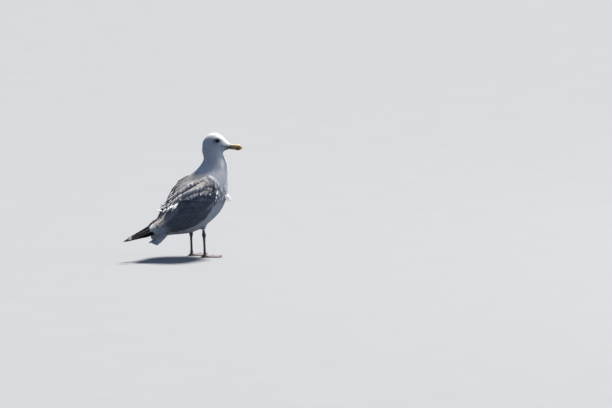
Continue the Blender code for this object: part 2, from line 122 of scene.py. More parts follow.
SPINE_LINE, SPINE_RUN = smooth_line(np.array(SPINE) * MM, 240)
SPINE_RUN = SPINE_RUN / MM - 26.2  # millimetres along the spine; 0 is the rump, the bill starts near 427
SPINE_AHEAD = unit(np.gradient(SPINE_LINE, axis=0))


def spine_place(points):
    """Points of the straight-ahead bird as millimetres along the spine and degrees round it from the back."""
    flat = points[:, [0, 2]]
    nearest = np.empty(len(points), int)
    for start in range(0, len(points), 4000):
        block = flat[start : start + 4000]
        gaps = ((block[:, None, :] - SPINE_LINE[None]) ** 2).sum(axis=2)
        nearest[start : start + 4000] = gaps.argmin(axis=1)
    ahead = SPINE_AHEAD[nearest]
    offset = flat - SPINE_LINE[nearest]
    up = offset[:, 0] * -ahead[:, 1] + offset[:, 1] * ahead[:, 0]
    round_it = np.degrees(np.arctan2(np.abs(points[:, 1]), up))
    return SPINE_RUN[nearest], round_it, ahead


def speckle(points, size, seed=0):
    """Soft noise from -1 to 1 with blotches of about the given size."""
    shift = Vector((seed * 17.3, seed * 5.1, 0))
    return np.array([noise.noise(Vector(p) / size + shift) for p in points])


def below(line, along, round_it):
    """Distance in millimetres to a line on the body, positive on its side of the tail and the belly."""
    here = np.stack([along, round_it], axis=1)
    best, sign = np.full(len(here), 1e9), np.ones(len(here))
    for a, b in zip(np.array(line[:-1], float), np.array(line[1:], float)):
        step, off = b - a, here - a
        share = np.clip((off @ step) / (step @ step), 0, 1)
        gap = np.linalg.norm(off - share[:, None] * step, axis=1)
        side = np.where(step[0] * off[:, 1] - step[1] * off[:, 0] < 0, 1.0, -1.0)
        sign = np.where(gap < best, side, sign)
        best = np.minimum(best, gap)
    return best * sign


# ---------------------------------------------------------------- node trees
class Tree:
    """A node tree that is written down one node at a time."""

    def __init__(self, tree):
        self.tree = tree
        tree.nodes.clear()

    def socket(self, name, kind, out=False, value=None):
        made = self.tree.interface.new_socket(
            name, in_out="OUTPUT" if out else "INPUT", socket_type="NodeSocket" + kind
        )
        if value is not None:
            made.default_value = value
        return made

    def fill(self, socket, value):
        if isinstance(value, bpy.types.NodeSocket):
            self.tree.links.new(value, socket)
        elif value is not None:
            socket.default_value = value

    def add(self, kind, inputs=None, out=0, **settings):
        """Adds a node, fills its inputs by name or number, and gives one output, or the node for out=None."""
        node = self.tree.nodes.new(kind)
        for key, value in settings.items():
            setattr(node, key, value)
        for key, value in (inputs or {}).items():
            self.fill(node.inputs[key], value)
        return node if out is None else node.outputs[out]

    def calc(self, operation, a, b=None, clamp=False):
        return self.add("ShaderNodeMath", {0: a, 1: b}, operation=operation, use_clamp=clamp)

    def plus(self, a, b):
        return self.calc("ADD", a, b)

    def minus(self, a, b, clamp=False):
        return self.calc("SUBTRACT", a, b, clamp)

    def times(self, a, b):
        return self.calc("MULTIPLY", a, b)

    def vector(self, operation, a, b=None):
        return self.add("ShaderNodeVectorMath", {0: a, 1: b}, operation=operation)

    def scaled(self, a, scale):
        return self.add("ShaderNodeVectorMath", {0: a, "Scale": scale}, operation="SCALE")

    def xyz(self, x, y, z):
        return self.add("ShaderNodeCombineXYZ", {0: x, 1: y, 2: z})

    def noise(self, place, scale, detail, roughness=0.5):
        inputs = {"Vector": place, "Scale": scale, "Detail": detail, "Roughness": roughness}
        return self.add("ShaderNodeTexNoise", inputs, out="Fac")

    def rise(self, value, low, high, to_low=0.0, to_high=1.0, kind="SMOOTHSTEP"):
        inputs = {"Value": value, "From Min": low, "From Max": high, "To Min": to_low, "To Max": to_high}
        return self.add("ShaderNodeMapRange", inputs, interpolation_type=kind)

    def blend(self, share, a, b):
        """A mix of two colours."""
        node = self.add("ShaderNodeMix", out=None, data_type="RGBA", blend_type="MIX")
        self.fill(node.inputs["Factor"], share)
        self.fill(node.inputs[6], a)
        self.fill(node.inputs[7], b)
        return node.outputs[2]

    def attribute(self, name, out="Fac"):
        return self.add("ShaderNodeAttribute", out=out, attribute_name=name)

    def give(self, node, **values):
        """Fills a node's inputs by name, and gives the nodes written down so far."""
        for name, value in values.items():
            self.fill(node.inputs[name], value)
        return self.tree


def rgb(red, green, blue):
    return (red, green, blue, 1.0)


# ---------------------------------------------------------------- effects that several finishes share
NOWHERE = (0, 0, 0)


def group(name, outputs, **inputs):
    """A new group with preset inputs, each a number or a vector. All its outputs are numbers."""
    tree = Tree(bpy.data.node_groups.new(name, "ShaderNodeTree"))
    for socket, value in inputs.items():
        tree.socket(socket, "Vector" if value is NOWHERE else "Float", value=value)
    for socket in outputs:
        tree.socket(socket, "Float", out=True)
    given = tree.add("NodeGroupInput", out=None)
    return tree, given.outputs, tree.add("NodeGroupOutput", out=None)


def barb_group():
    """The fine barbs of a vane, slanting from its shaft to its edges, with small gaps where they part."""
    tree, given, result = group(
        "Barbs", ("Height", "Shaft", "Split"), Across=0.0, Along=0.0, Count=40.0, Slant=0.5, Chance=0.0
    )
    side = tree.calc("ABSOLUTE", given["Across"])
    run = tree.minus(given["Along"], tree.times(side, given["Slant"]))
    run = tree.plus(tree.times(run, given["Count"]), tree.times(given["Chance"], 37.0))
    wave = tree.calc("SINE", tree.times(run, math.tau))
    clump = tree.noise(tree.xyz(tree.times(run, 0.35), given["Chance"], 0.0), 1.0, 1.0)
    shaft = tree.rise(side, 0.05, 0.11, 1.0, 0.0)
    split = tree.times(tree.rise(clump, 0.6, 0.72), tree.rise(side, 0.25, 0.9))
    height = tree.plus(tree.times(wave, 0.25), tree.times(clump, 0.9))
    height = tree.plus(height, tree.times(shaft, 1.2))
    return tree.give(result, Height=height, Shaft=shaft, Split=split)


def wear_group():
    """Where a vane is bleached and frayed: its edges and tip, broken up by noise."""
    tree, given, result = group("Wear", ("Fringe", "Patch"), Across=0.0, Along=0.0, Place=NOWHERE, Reach=0.2)
    side = tree.calc("ABSOLUTE", given["Across"])
    edge = tree.calc("MAXIMUM", tree.times(side, 0.93), given["Along"])
    rough = tree.noise(given["Place"], 420.0, 3.0, 0.6)
    broad = tree.noise(given["Place"], 60.0, 2.0)
    edge = tree.plus(edge, tree.times(tree.minus(rough, 0.5), 0.22))
    start = tree.minus(1.0, given["Reach"])
    fringe = tree.calc("DIVIDE", tree.minus(edge, start), given["Reach"], clamp=True)
    return tree.give(result, Fringe=fringe, Patch=tree.rise(broad, 0.42, 0.66))


def horn_group():
    """Growth lines, scratches and cloudy depth of horn."""
    tree, given, result = group("Horn grain", ("Height", "Cloud"), Place=NOWHERE, Scale=300.0, Stretch=6.0)
    place = tree.vector("MULTIPLY", given["Place"], tree.xyz(1.0, 1.0, given["Stretch"]))
    fine = tree.noise(place, given["Scale"], 4.0)
    return tree.give(result, Height=fine, Cloud=tree.noise(given["Place"], 110.0, 3.0))


def scute_group():
    """Small plates of bare skin with dark creases between them."""
    tree, given, result = group(
        "Scutes", ("Height", "Crease", "Tint"), Place=NOWHERE, Scale=700.0, Flatten=1.0
    )
    place = tree.vector("MULTIPLY", given["Place"], tree.xyz(1.0, 1.0, given["Flatten"]))
    where = {"Vector": place, "Scale": given["Scale"]}
    edge = tree.add("ShaderNodeTexVoronoi", where, feature="DISTANCE_TO_EDGE", out="Distance")
    cell = tree.add("ShaderNodeTexVoronoi", where, out="Color")
    tint = tree.add("ShaderNodeSeparateColor", {0: cell})
    height, crease = tree.rise(edge, 0.0, 0.28), tree.rise(edge, 0.02, 0.12, 1.0, 0.0)
    return tree.give(result, Height=height, Crease=crease, Tint=tint)


BARBS, WEAR, HORN, SCUTES = barb_group(), wear_group(), horn_group(), scute_group()


# ---------------------------------------------------------------- finishes
def finish(name, roughness=0.8, sheen=0.0, clear=0.0):
    """A new material with its shader; gives the tree, the shader and the place on the object."""
    made = bpy.data.materials.new(name)
    made.use_nodes = True
    tree = Tree(made.node_tree)
    shader = tree.add(
        "ShaderNodeBsdfPrincipled",
        {"Roughness": roughness, "Specular IOR Level": 0.3, "Sheen Weight": sheen, "Sheen Roughness": 0.5,
         "Coat Weight": clear, "Coat Roughness": 0.06},
        out=None,
    )
    output = tree.add("ShaderNodeOutputMaterial", out=None)
    tree.fill(output.inputs["Surface"], shader.outputs[0])
    place = tree.add("ShaderNodeTexCoord", out="Object")
    return made, tree, shader, place


def place_group(tree, effect, **inputs):
    node = tree.add("ShaderNodeGroup", out=None, node_tree=effect)
    for key, value in inputs.items():
        tree.fill(node.inputs[key], value)
    return node.outputs


def relief(tree, shader, height, distance, strength=1.0):
    bumped = tree.add("ShaderNodeBump", {"Height": height, "Distance": distance, "Strength": strength})
    tree.fill(shader.inputs["Normal"], bumped)


def vane_layers(tree, place, count, slant, reach):
    """A vane's barbs and wear, and the chance that its feather drew."""
    across, along, chance = (tree.attribute(n) for n in ("across", "along", "chance"))
    barbs = place_group(tree, BARBS, Across=across, Along=along, Count=count, Slant=slant, Chance=chance)
    return barbs, place_group(tree, WEAR, Across=across, Along=along, Place=place, Reach=reach), chance


def fringe_over(tree, shader, wear, colour, fringe_colour, fringe):
    share = tree.times(tree.times(wear["Fringe"], tree.attribute("fringe")), fringe)
    tree.fill(shader.inputs["Base Color"], tree.blend(share, colour, fringe_colour))


def plumage_finish(name, count, fringe_colour, fringe, dust, relief_depth):
    """Feathers in the colour that the marks give them, with barbs, shafts and worn edges."""
    made, tree, shader, place = finish(name, 0.82, sheen=0.08)
    barbs, wear, chance = vane_layers(tree, place, count, 0.5, 0.22)
    lightness = tree.rise(barbs["Height"], 0.0, 1.2, 0.9, 1.06, "LINEAR")
    lightness = tree.times(lightness, tree.rise(chance, 0.0, 1.0, 0.93, 1.05, "LINEAR"))
    colour = tree.scaled(tree.attribute("pelt", "Color"), lightness)
    colour = tree.blend(tree.times(wear["Patch"], dust), colour, rgb(0.42, 0.36, 0.29))
    fringe_over(tree, shader, wear, colour, fringe_colour, fringe)
    tree.fill(shader.inputs["Roughness"], tree.rise(barbs["Height"], 0.0, 1.0, 0.88, 0.74, "LINEAR"))
    relief(tree, shader, barbs["Height"], relief_depth, 0.6)
    return made


def quill_finish(name, roughness, fringe_colour, fringe, gloss):
    """The long stiff feathers: tighter barbs, a clear shaft and a slight gloss."""
    made, tree, shader, place = finish(name, roughness)
    shader.inputs["Specular IOR Level"].default_value = 0.12
    barbs, wear, _ = vane_layers(tree, place, 70.0, 0.35, 0.12)
    colour = tree.rise(barbs["Height"], 0.0, 1.2, 0.86, 1.08, "LINEAR")
    colour = tree.scaled(tree.attribute("pelt", "Color"), colour)
    colour = tree.blend(tree.times(barbs["Shaft"], 0.08), colour, rgb(0.30, 0.26, 0.21))
    fringe_over(tree, shader, wear, colour, fringe_colour, fringe)
    rough = tree.rise(barbs["Split"], 0.0, 1.0, roughness - gloss, roughness + 0.1, "LINEAR")
    tree.fill(shader.inputs["Roughness"], rough)
    relief(tree, shader, barbs["Height"], 0.00025, 0.7)
    return made


PLUMAGE = plumage_finish("small_feathers", 14.0, rgb(0.80, 0.79, 0.77), 0.6, 0.10, 0.0002)
MANTLE = plumage_finish("back_feathers", 26.0, rgb(0.62, 0.59, 0.55), 0.8, 0.16, 0.0002)
BROAD = plumage_finish("broad_feathers", 60.0, rgb(0.70, 0.66, 0.61), 0.95, 0.20, 0.0005)
QUILL = quill_finish("long_feathers", 0.62, rgb(0.62, 0.60, 0.57), 0.8, 0.12)


# ---------------------------------------------------------------- mesh helpers
def new_object(name, mesh):
    obj = bpy.data.objects.new(name, mesh)
    bpy.context.scene.collection.objects.link(obj)
    return obj


def joined_copy(nodes, swell, reshape=None):
    """One mesh from copies of solids, each swollen a little so that neighbours run into each other."""
    joined = bmesh.new()
    for node in nodes:
        part = bmesh.new()
        part.from_mesh(NODES[node].data)
        bmesh.ops.remove_doubles(part, verts=part.verts, dist=0.01 * MM)
        bmesh.ops.recalc_face_normals(part, faces=part.faces)
        part.normal_update()
        for vert, normal in [(v, v.normal.copy()) for v in part.verts]:
            vert.co += normal * swell
        if reshape is not None:
            moved = reshape(node, np.array([v.co for v in part.verts]))
            for vert, place in zip(part.verts, moved):
                vert.co = place
        mesh = bpy.data.meshes.new("part")
        part.to_mesh(mesh)
        part.free()
        joined.from_mesh(mesh)
        bpy.data.meshes.remove(mesh)
    mesh = bpy.data.meshes.new("joined")
    joined.to_mesh(mesh)
    joined.free()
    return mesh


def evaluated_mesh(obj):
    graph = bpy.context.evaluated_depsgraph_get()
    solved = obj.evaluated_get(graph)
    return bpy.data.meshes.new_from_object(solved, preserve_all_data_layers=True, depsgraph=graph)


def remeshed(name, nodes, voxel, swell, reshape=None):
    """The nodes as one closed skin of small even faces."""
    obj = new_object(name, joined_copy(nodes, swell, reshape))
    modifier = obj.modifiers.new("Skin", "REMESH")
    modifier.mode = "VOXEL"
    modifier.voxel_size = voxel
    mesh = evaluated_mesh(obj)
    obj.modifiers.remove(modifier)
    obj.data = mesh
    keep_largest(obj.data)
    return obj


def keep_largest(mesh):
    """Removes every loose crumb but the biggest shell."""
    work = bmesh.new()
    work.from_mesh(mesh)
    left, shells = set(work.verts), []
    while left:
        shell, edge = set(), [left.pop()]
        while edge:
            vert = edge.pop()
            shell.add(vert)
            near = {e.other_vert(vert) for e in vert.link_edges} & left
            left -= near
            edge.extend(near)
        shells.append(shell)
    keep = max(shells, key=len)
    bmesh.ops.delete(work, geom=[v for v in work.verts if v not in keep], context="VERTS")
    bmesh.ops.recalc_face_normals(work, faces=work.faces)
    work.to_mesh(mesh)
    work.free()


def read(mesh, what="co"):
    data = mesh.vertices if what == "co" else mesh.vertex_normals
    out = np.empty(len(mesh.vertices) * 3)
    data.foreach_get("co" if what == "co" else "vector", out)
    return out.reshape(-1, 3)


def write(mesh, points):
    mesh.vertices.foreach_set("co", np.ascontiguousarray(points, float).ravel())
    mesh.update()


def edge_list(mesh):
    out = np.empty(len(mesh.edges) * 2, int)
    mesh.edges.foreach_get("vertices", out)
    return out.reshape(-1, 2)


def relax(values, edges, rounds, share=0.5):
    """Evens out values over a mesh, each with its neighbours'. share may differ from vertex to vertex."""
    values = np.array(values, float)
    flat = values.reshape(len(values), -1)
    both = np.concatenate([edges, edges[:, ::-1]])
    count = np.maximum(np.bincount(both[:, 0], minlength=len(values)), 1)[:, None]
    share = np.broadcast_to(np.asarray(share, float), (len(values),))[:, None]
    for _ in range(rounds):
        total = np.stack(
            [np.bincount(both[:, 0], flat[both[:, 1], k], len(values)) for k in range(flat.shape[1])], axis=1
        )
        flat = flat + (total / count - flat) * share
    return flat.reshape(values.shape)


def mark(mesh, name, values):
    """Stores one number, vector or colour for each vertex."""
    values = np.asarray(values, float)
    kind = "FLOAT" if values.ndim == 1 else {3: "FLOAT_VECTOR", 4: "FLOAT_COLOR"}[values.shape[1]]
    layer = mesh.attributes.new(name, kind, "POINT")
    key = {"FLOAT": "value", "FLOAT_VECTOR": "vector", "FLOAT_COLOR": "color"}[kind]
    layer.data.foreach_set(key, np.ascontiguousarray(values, np.float32).ravel())


def lay_uv(mesh, places):
    """Stores the map OFBake, with one place for each vertex."""
    layer = mesh.uv_layers.new(name="OFBake")
    loops = np.empty(len(mesh.loops), int)
    mesh.loops.foreach_get("vertex_index", loops)
    layer.data.foreach_set("uv", places[loops].astype(np.float32).ravel())


def tree_of(mesh):
    return BVHTree.FromPolygons([v.co for v in mesh.vertices], [tuple(p.vertices) for p in mesh.polygons])


def near(tree, points):
    """Distance to a surface from each point."""
    return np.array([tree.find_nearest(Vector(p))[3] for p in points])


# ---------------------------------------------------------------- marks of the plumage
WHITE = np.array([0.80, 0.80, 0.79])
# GREY is darker than the bird's own grey: partly painted shade of the wing's side
GREY = np.array([0.139, 0.151, 0.175])
DUSK = np.array([0.20, 0.18, 0.16])
BLACK = np.array([0.008, 0.0065, 0.006])


def mix(a, b, share):
    """Colours or ways from a to b, with one share for each point."""
    share = np.asarray(share, float)[:, None]
    return np.asarray(a) * (1 - share) + np.asarray(b) * share


def marks(straight, along, round_it):
    """The colour of the plumage at points of the straight-ahead bird; skin and feathers both ask here."""
    x, z = straight[:, 0] / MM, straight[:, 2] / MM
    edge = np.array(SADDLE_EDGE, float)
    ragged = speckle(straight, 9 * MM, 1) * 5 + speckle(straight, 3.5 * MM, 2) * 2.5
    front = np.interp(-z, -edge[:, 1], edge[:, 0]) + ragged
    rear = np.interp(round_it, [40, 62], [4, 42])
    grey = ease(front - x, -2.5, 2.5) * ease(along - rear, -4, 6)
    # above the lowest ledge the back is paler: partly worn, bleached feathers, partly painted light where the
    # sun falls on the top of the back
    bleached = 1 - ease(below(LEDGES[-1], along, round_it) + ragged, -6, 6)
    bleached = bleached * (1 - ease(x, 84, 93) * ease(round_it, 42, 56))  # painted shade: dark again at the bend of the wing, whose feathers are darker there too
    saddle = mix(GREY, GREY * 2.4 + [0.05, 0.03, 0.01], bleached)
    painted_light_below_neck = bleached * (1 - ease(front - x, 16, 36))  # painted light just below the neck, where the neck's shadow falls on the back
    saddle = saddle * (1 + painted_light_below_neck[:, None] * [0.78, 0.60, 0.34])
    colour = mix(WHITE, saddle, grey)
    # darker round the eye and before it: the bird's dusky feathering, with painted shadow of the brow over
    # the eye
    eye_x, eye_z = EYE_AT[0] / MM, EYE_AT[2] / MM
    around = bump(x, eye_x - 1.5, 9.0) * bump(z, eye_z + 0.8, 7.4)
    before = bump(x, eye_x + 9, 7.0) * bump(z, eye_z + 0.5, 3.6)
    dusky = np.clip(around + 0.4 * before, 0, 0.92) * (np.abs(straight[:, 1]) > 6 * MM)
    colour = mix(colour, DUSK * 0.55, dusky * (1 - grey))
    # the corner of the mouth runs back below the eye
    mouth = bump(z, 339.2, 1.2) * ease(x, eye_x + 4, eye_x + 14) * (1 - ease(x, eye_x + 38, eye_x + 44))
    colour = mix(colour, DUSK * 0.55, 0.85 * mouth * (np.abs(straight[:, 1]) > 5 * MM))
    # darker on the chin under the bill: painted shade, and the dusky base of the lower bill
    chin = ease(x - bill_root() + ragged * 0.25, -12, -6) * (1 - ease(z, 337.5, 339.5)) * (z > 315)
    colour = mix(colour, [0.20, 0.175, 0.14], 0.75 * chin)
    streaks = bump(along, 345, 30) * bump(round_it, 25, 40) * (0.5 + 0.5 * speckle(straight, 4 * MM, 3))
    colour = mix(colour, DUSK * 1.6, 0.10 * streaks)
    return colour, grey


# ---------------------------------------------------------------- the skin
def centre_of(node):
    low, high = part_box(node)
    return (np.array(low) + np.array(high)) / 2


EYE_AT = turn_head(centre_of("eye_left")[None], back=True)[0]
FLESH = ["head", "neck", "trunk", "wing_left", "wing_right", "thigh_left", "thigh_right"]
ALONG = [0, 40, 120, 220, 260, 300, 340, 360, 385, 405, 420, 430]  # millimetres along the spine
DEPTH = [3.0, 3.8, 4.2, 4.2, 3.6, 2.8, 2.2, 1.9, 1.6, 1.2, 0.7, 0.4]  # of the coat over the skin there
LENGTH = [21, 20, 19, 18, 16, 13.5, 11, 9, 7, 5.2, 3.8, 2.8]  # of a feather
GIRTH = [6.0, 5.6, 5.0, 4.4, 3.8, 3.1, 2.5, 2.1, 1.7, 1.3, 1.0, 0.85]  # of a feather, likewise
SKIN_VOXEL, SKIN_SWELL = 1.7 * MM, 0.45 * MM


def bill_root():
    """Where the upper bill starts on the straight-ahead bird, in millimetres."""
    return turn_head(centre_of("bill_upper")[None], back=True)[0, 0] / MM - 19.0


def droop(straight):
    """How far the bill and the face before the eye hang below their solids, on the straight-ahead bird."""
    x, z = straight[:, 0] / MM - bill_root(), straight[:, 2] / MM
    return -2.6 * MM * ease(x, -24, -4) * (1 - 0.45 * ease(x, 12, 38)) * ease(z, 312, 322)


def nape(straight):
    """How far the back of the neck stands behind its solid, on the straight-ahead bird."""
    x, z = straight[:, 0] / MM, straight[:, 2] / MM
    return -4.0 * MM * ease(z, 262, 284) * (1 - ease(z, 316, 340)) * ease(NECK_AXIS_X / MM - x, -4, 14)


def face_shape(node, points):
    """Shortens the bill, so that skin runs on under the root of the horn, and hangs it a little lower."""
    straight = turn_head(points, back=True)
    straight[:, 2] += droop(straight)
    straight[:, 0] += nape(straight)
    if not node.startswith("bill"):
        return turn_head(straight)
    ahead = straight[:, 0] / MM - bill_root()
    straight[:, 0] -= 0.6 * np.maximum(ahead, 0) * MM
    straight[:, 1:] = mix(straight[:, 1:], [0, 338 * MM], 0.9 * ease(ahead, 2, 30))
    return turn_head(straight)


def near_solids(kind, points):
    """Distance from each point to the nearer of a left and a right solid."""
    return np.minimum(*[near(tree_of(NODES[kind + side].data), points) for side in SIDES])


def make_skin():
    """The skin under the coat, its marks, and what the coat and the long feathers ask of it."""
    skin = remeshed("skin", FLESH + ["bill_upper", "bill_lower"], SKIN_VOXEL, SKIN_SWELL, face_shape)
    mesh = skin.data
    edges = edge_list(mesh)
    points = read(mesh)
    straight = turn_head(points, back=True)
    along, round_it, ahead = spine_place(straight)
    along = relax(along, edges, 12)

    wing = relax(1 - ease(near_solids("wing_", points), 1.0 * MM, 3.0 * MM), edges, 6)
    thigh = relax(1 - ease(near_solids("thigh_", points), 1.2 * MM, 3.5 * MM), edges, 3)
    eye = np.minimum(*[np.linalg.norm(points - centre_of("eye_" + side), axis=1) for side in SIDES])

    # softened most where the wings meet the back, least on the face
    soft = np.interp(along, [0, 250, 330, 380], [0.6, 0.6, 0.45, 0.25])
    points = relax(points, edges, 14, soft)
    write(mesh, points)
    depth = np.interp(along, ALONG, DEPTH) * MM
    depth = depth * (1 - 0.35 * wing) * (1 - 0.3 * thigh)
    thin = 1 - ease(along, 18, 50)  # the hollow shells of the folded wings' ends
    depth = depth * (1 - 0.85 * thin)
    depth *= 0.35 + 0.65 * ease(eye, EYE_RADIUS + 0.8 * MM, EYE_RADIUS + 5 * MM)
    depth = relax(depth, edges, 6)
    step = np.zeros(len(points))
    for line in LEDGES:
        under = below(line, along, round_it)
        step = np.maximum(step, 3.4 * ease(under, -1.5, 2.5) * (1 - ease(under, 3, 20)))
        step -= 0.5 * bump(under, -6, 5) * (step < 0.1)
    step *= ease(along, 70, 90) * (1 - ease(along, 222, 236)) * MM
    write(mesh, points - read(mesh, "normal") * (depth + SKIN_SWELL + step)[:, None])
    points = relax(read(mesh), edges, 3, 0.3)
    write(mesh, points)

    straight = turn_head(points, back=True)
    straight[:, 2] -= droop(straight)
    along, round_it, ahead = spine_place(straight)
    along = relax(along, edges, 10)
    normals = read(mesh, "normal")
    lie = np.stack([-ahead[:, 0], np.zeros(len(points)), -ahead[:, 1]], axis=1)
    lie = mix(lie, [0.15, 0, -1.0], thigh)
    lie = turn_vectors(lie, points[:, 2])
    lie = relax(lie, edges, 30)
    lie = unit(lie - normals * (lie * normals).sum(axis=1)[:, None])

    middle = np.stack([np.interp(along, SPINE_RUN, SPINE_LINE[:, k]) for k in (0, 1)], axis=1)
    away = unit(straight - np.stack([middle[:, 0], np.zeros(len(along)), middle[:, 1]], axis=1))
    facing = (away * turn_vectors(normals, points[:, 2], back=True)).sum(axis=1)
    colour, grey = marks(straight, along, round_it)
    sign = np.where(straight[:, 1] < 0, -1.0, 1.0)
    turn = np.radians(round_it) * sign
    reach = 0.06 + 0.43 * (1 - np.clip((along + 40) / 480, 0, 1))
    unwrap = np.stack([0.5 + reach * np.sin(turn), 0.5 + reach * np.cos(turn), np.zeros(len(turn))], axis=1)
    places = {
        "lie": lie,
        "depth": depth,
        "unwrap": unwrap,
        "pelt": np.concatenate([colour, np.ones((len(colour), 1))], axis=1),
        "tuft_length": np.interp(along, ALONG, LENGTH) * MM * (1 - 0.25 * wing),
        "tuft_width": np.interp(along, ALONG, GIRTH) * MM,
        "fringe": 0.15 + 0.6 * grey * (1 - 0.65 * wing),
    }
    for name, values in places.items():
        mark(mesh, name, values)
    lay_uv(mesh, unwrap[:, :2])
    mesh.shade_smooth()
    facts = dict(straight=straight, along=along, wing=wing, thigh=thigh)
    facts.update(grey=grey, eye=eye, lie=lie, facing=facing)
    return skin, facts


SKIN, FACTS = make_skin()
SKIN_TREE = tree_of(SKIN.data)
print("skin faces", len(SKIN.data.polygons))


# ---------------------------------------------------------------- the coat of small feathers
PATCH = 0.003  # the size of a vane's own patch of the map


def coat_tree():
    """Small feathers over a skin: roots spread evenly, laid along the lie, bent to follow the surface."""
    tree = Tree(bpy.data.node_groups.new("Coat", "GeometryNodeTree"))
    tree.socket("Skin", "Geometry")
    for name, kind in (
        ("Region", "String"), ("Spacing", "Float"), ("Seed", "Int"), ("Columns", "Int"), ("Rows", "Int"),
        ("Roundness", "Float"), ("Lift", "Float"), ("Ruffle", "Float"), ("Length", "Float"),
        ("Width", "Float"), ("Finish", "Material"),
    ):
        tree.socket(name, kind)
    tree.socket("Feathers", "Geometry", out=True)
    given = tree.add("NodeGroupInput", out=None).outputs
    result = tree.add("NodeGroupOutput", out=None)

    def named(name, kind="FLOAT"):
        return tree.add("GeometryNodeInputNamedAttribute", {"Name": name}, data_type=kind)

    def store(geometry, name, value, kind="FLOAT", domain="POINT"):
        return tree.add(
            "GeometryNodeStoreNamedAttribute", {"Geometry": geometry, "Name": name, "Value": value},
            data_type=kind, domain=domain,
        )

    # one flat vane: across from -0.5 to 0.5, along from 0 to 1, pinched at its root and tip
    grid = tree.add(
        "GeometryNodeMeshGrid",
        {"Size X": 1.0, "Size Y": 1.0, "Vertices X": given["Columns"], "Vertices Y": given["Rows"]},
        out="Mesh",
    )
    here = tree.add("ShaderNodeSeparateXYZ", {0: tree.add("GeometryNodeInputPosition")}, out=None).outputs
    run = tree.minus(1.0, tree.calc("POWER", tree.minus(0.5, here[1]), 1.3))
    grid = store(grid, "across", tree.times(here[0], 2.0))
    grid = store(grid, "along", run)
    tip = tree.calc("POWER", run, given["Roundness"])
    belly = tree.calc("SQRT", tree.minus(1.0, tree.times(tip, tip), clamp=True))
    pinch = tree.rise(run, 0.0, 0.45, 0.3, 1.0)
    share = tree.calc("MAXIMUM", tree.times(belly, pinch), 0.06)
    # the middle of the tip reaches furthest
    aside = tree.times(here[0], share)
    back = tree.times(tree.times(aside, aside), -0.8)
    shaped = tree.xyz(aside, tree.plus(run, back), 0.0)
    vane = tree.add("GeometryNodeSetPosition", {"Geometry": grid, "Position": shaped})

    spots = tree.add(
        "GeometryNodeDistributePointsOnFaces",
        {"Mesh": given["Skin"], "Distance Min": given["Spacing"], "Density Max": 4.0e6,
         "Density Factor": named(given["Region"]), "Seed": given["Seed"]},
        out=None, distribute_method="POISSON",
    )
    drawn = tree.add("FunctionNodeRandomValue", {8: given["Seed"]}, out=1)
    points = store(spots.outputs["Points"], "chance", drawn)
    chance = named("chance")
    sway = tree.times(tree.minus(tree.calc("FRACT", tree.times(chance, 61.7)), 0.5), given["Ruffle"])
    aim = tree.add(
        "FunctionNodeAxesToRotation",
        {"Primary Axis": spots.outputs["Normal"], "Secondary Axis": named("lie", "FLOAT_VECTOR")},
        primary_axis="Z", secondary_axis="Y",
    )
    spin = tree.add("FunctionNodeAxisAngleToRotation", {"Axis": (0, 0, 1), "Angle": sway})
    aim = tree.add("FunctionNodeRotateRotation", {0: aim, 1: spin}, rotation_space="LOCAL")
    vary = tree.rise(chance, 0.0, 1.0, 0.8, 1.15, "LINEAR")
    long = tree.times(tree.times(named("tuft_length"), given["Length"]), vary)
    wide = tree.times(tree.times(named("tuft_width"), given["Width"]), vary)
    size = tree.xyz(wide, long, long)
    laid = tree.add(
        "GeometryNodeInstanceOnPoints", {"Points": points, "Instance": vane, "Rotation": aim, "Scale": size}
    )
    laid = tree.add("GeometryNodeRealizeInstances", {"Geometry": laid})

    # each vane leaves the skin at its root, then lies along the surface of the coat
    here = tree.add("GeometryNodeInputPosition")
    touch = tree.add(
        "GeometryNodeProximity", {"Geometry": given["Skin"], "Sample Position": here}, target_element="FACES"
    )
    outward = tree.add(
        "GeometryNodeSampleNearestSurface",
        {"Mesh": given["Skin"], "Value": tree.add("GeometryNodeInputNormal"), "Sample Position": here},
        data_type="FLOAT_VECTOR",
    )
    run, across = named("along"), named("across")
    fill = tree.rise(run, -0.1, 0.6, 0.25, 0.86)
    stray = tree.times(tree.minus(tree.calc("FRACT", tree.times(chance, 23.1)), 0.5), 0.16)
    fill = tree.plus(fill, stray)
    height = tree.times(named("depth"), fill)
    rise = tree.times(tree.times(run, run), given["Lift"])
    rise = tree.times(rise, tree.plus(0.4, chance))
    camber = tree.times(tree.times(across, across), tree.times(wide, -0.10))
    height = tree.plus(tree.plus(height, rise), camber)
    place = tree.vector("ADD", touch, tree.scaled(tree.vector("NORMALIZE", outward), height))
    laid = tree.add("GeometryNodeSetPosition", {"Geometry": laid, "Position": place})
    laid = store(laid, "outward", outward, "FLOAT_VECTOR")

    # every vane has its own small patch of the skin's unwrap
    patch = tree.xyz(tree.times(across, PATCH / 2), tree.times(tree.minus(run, 0.5), PATCH), 0.0)
    patch = tree.vector("ADD", named("unwrap", "FLOAT_VECTOR"), patch)
    laid = store(laid, "OFBake", patch, "FLOAT2", "CORNER")
    laid = tree.add("GeometryNodeSetShadeSmooth", {"Geometry": laid})
    laid = tree.add("GeometryNodeSetMaterial", {"Geometry": laid, "Material": given["Finish"]})
    return tree.give(result, Feathers=laid)


COAT_TREE = coat_tree()


def soften(mesh, share):
    """Lets the vanes catch the light mostly as the body under them does, as soft feathers do."""
    outward = np.empty(len(mesh.vertices) * 3, np.float32)
    mesh.attributes["outward"].data.foreach_get("vector", outward)
    normals = unit(unit(outward.reshape(-1, 3)) * share + read(mesh, "normal") * (1 - share))
    mesh.normals_split_custom_set_from_vertices(normals.tolist())


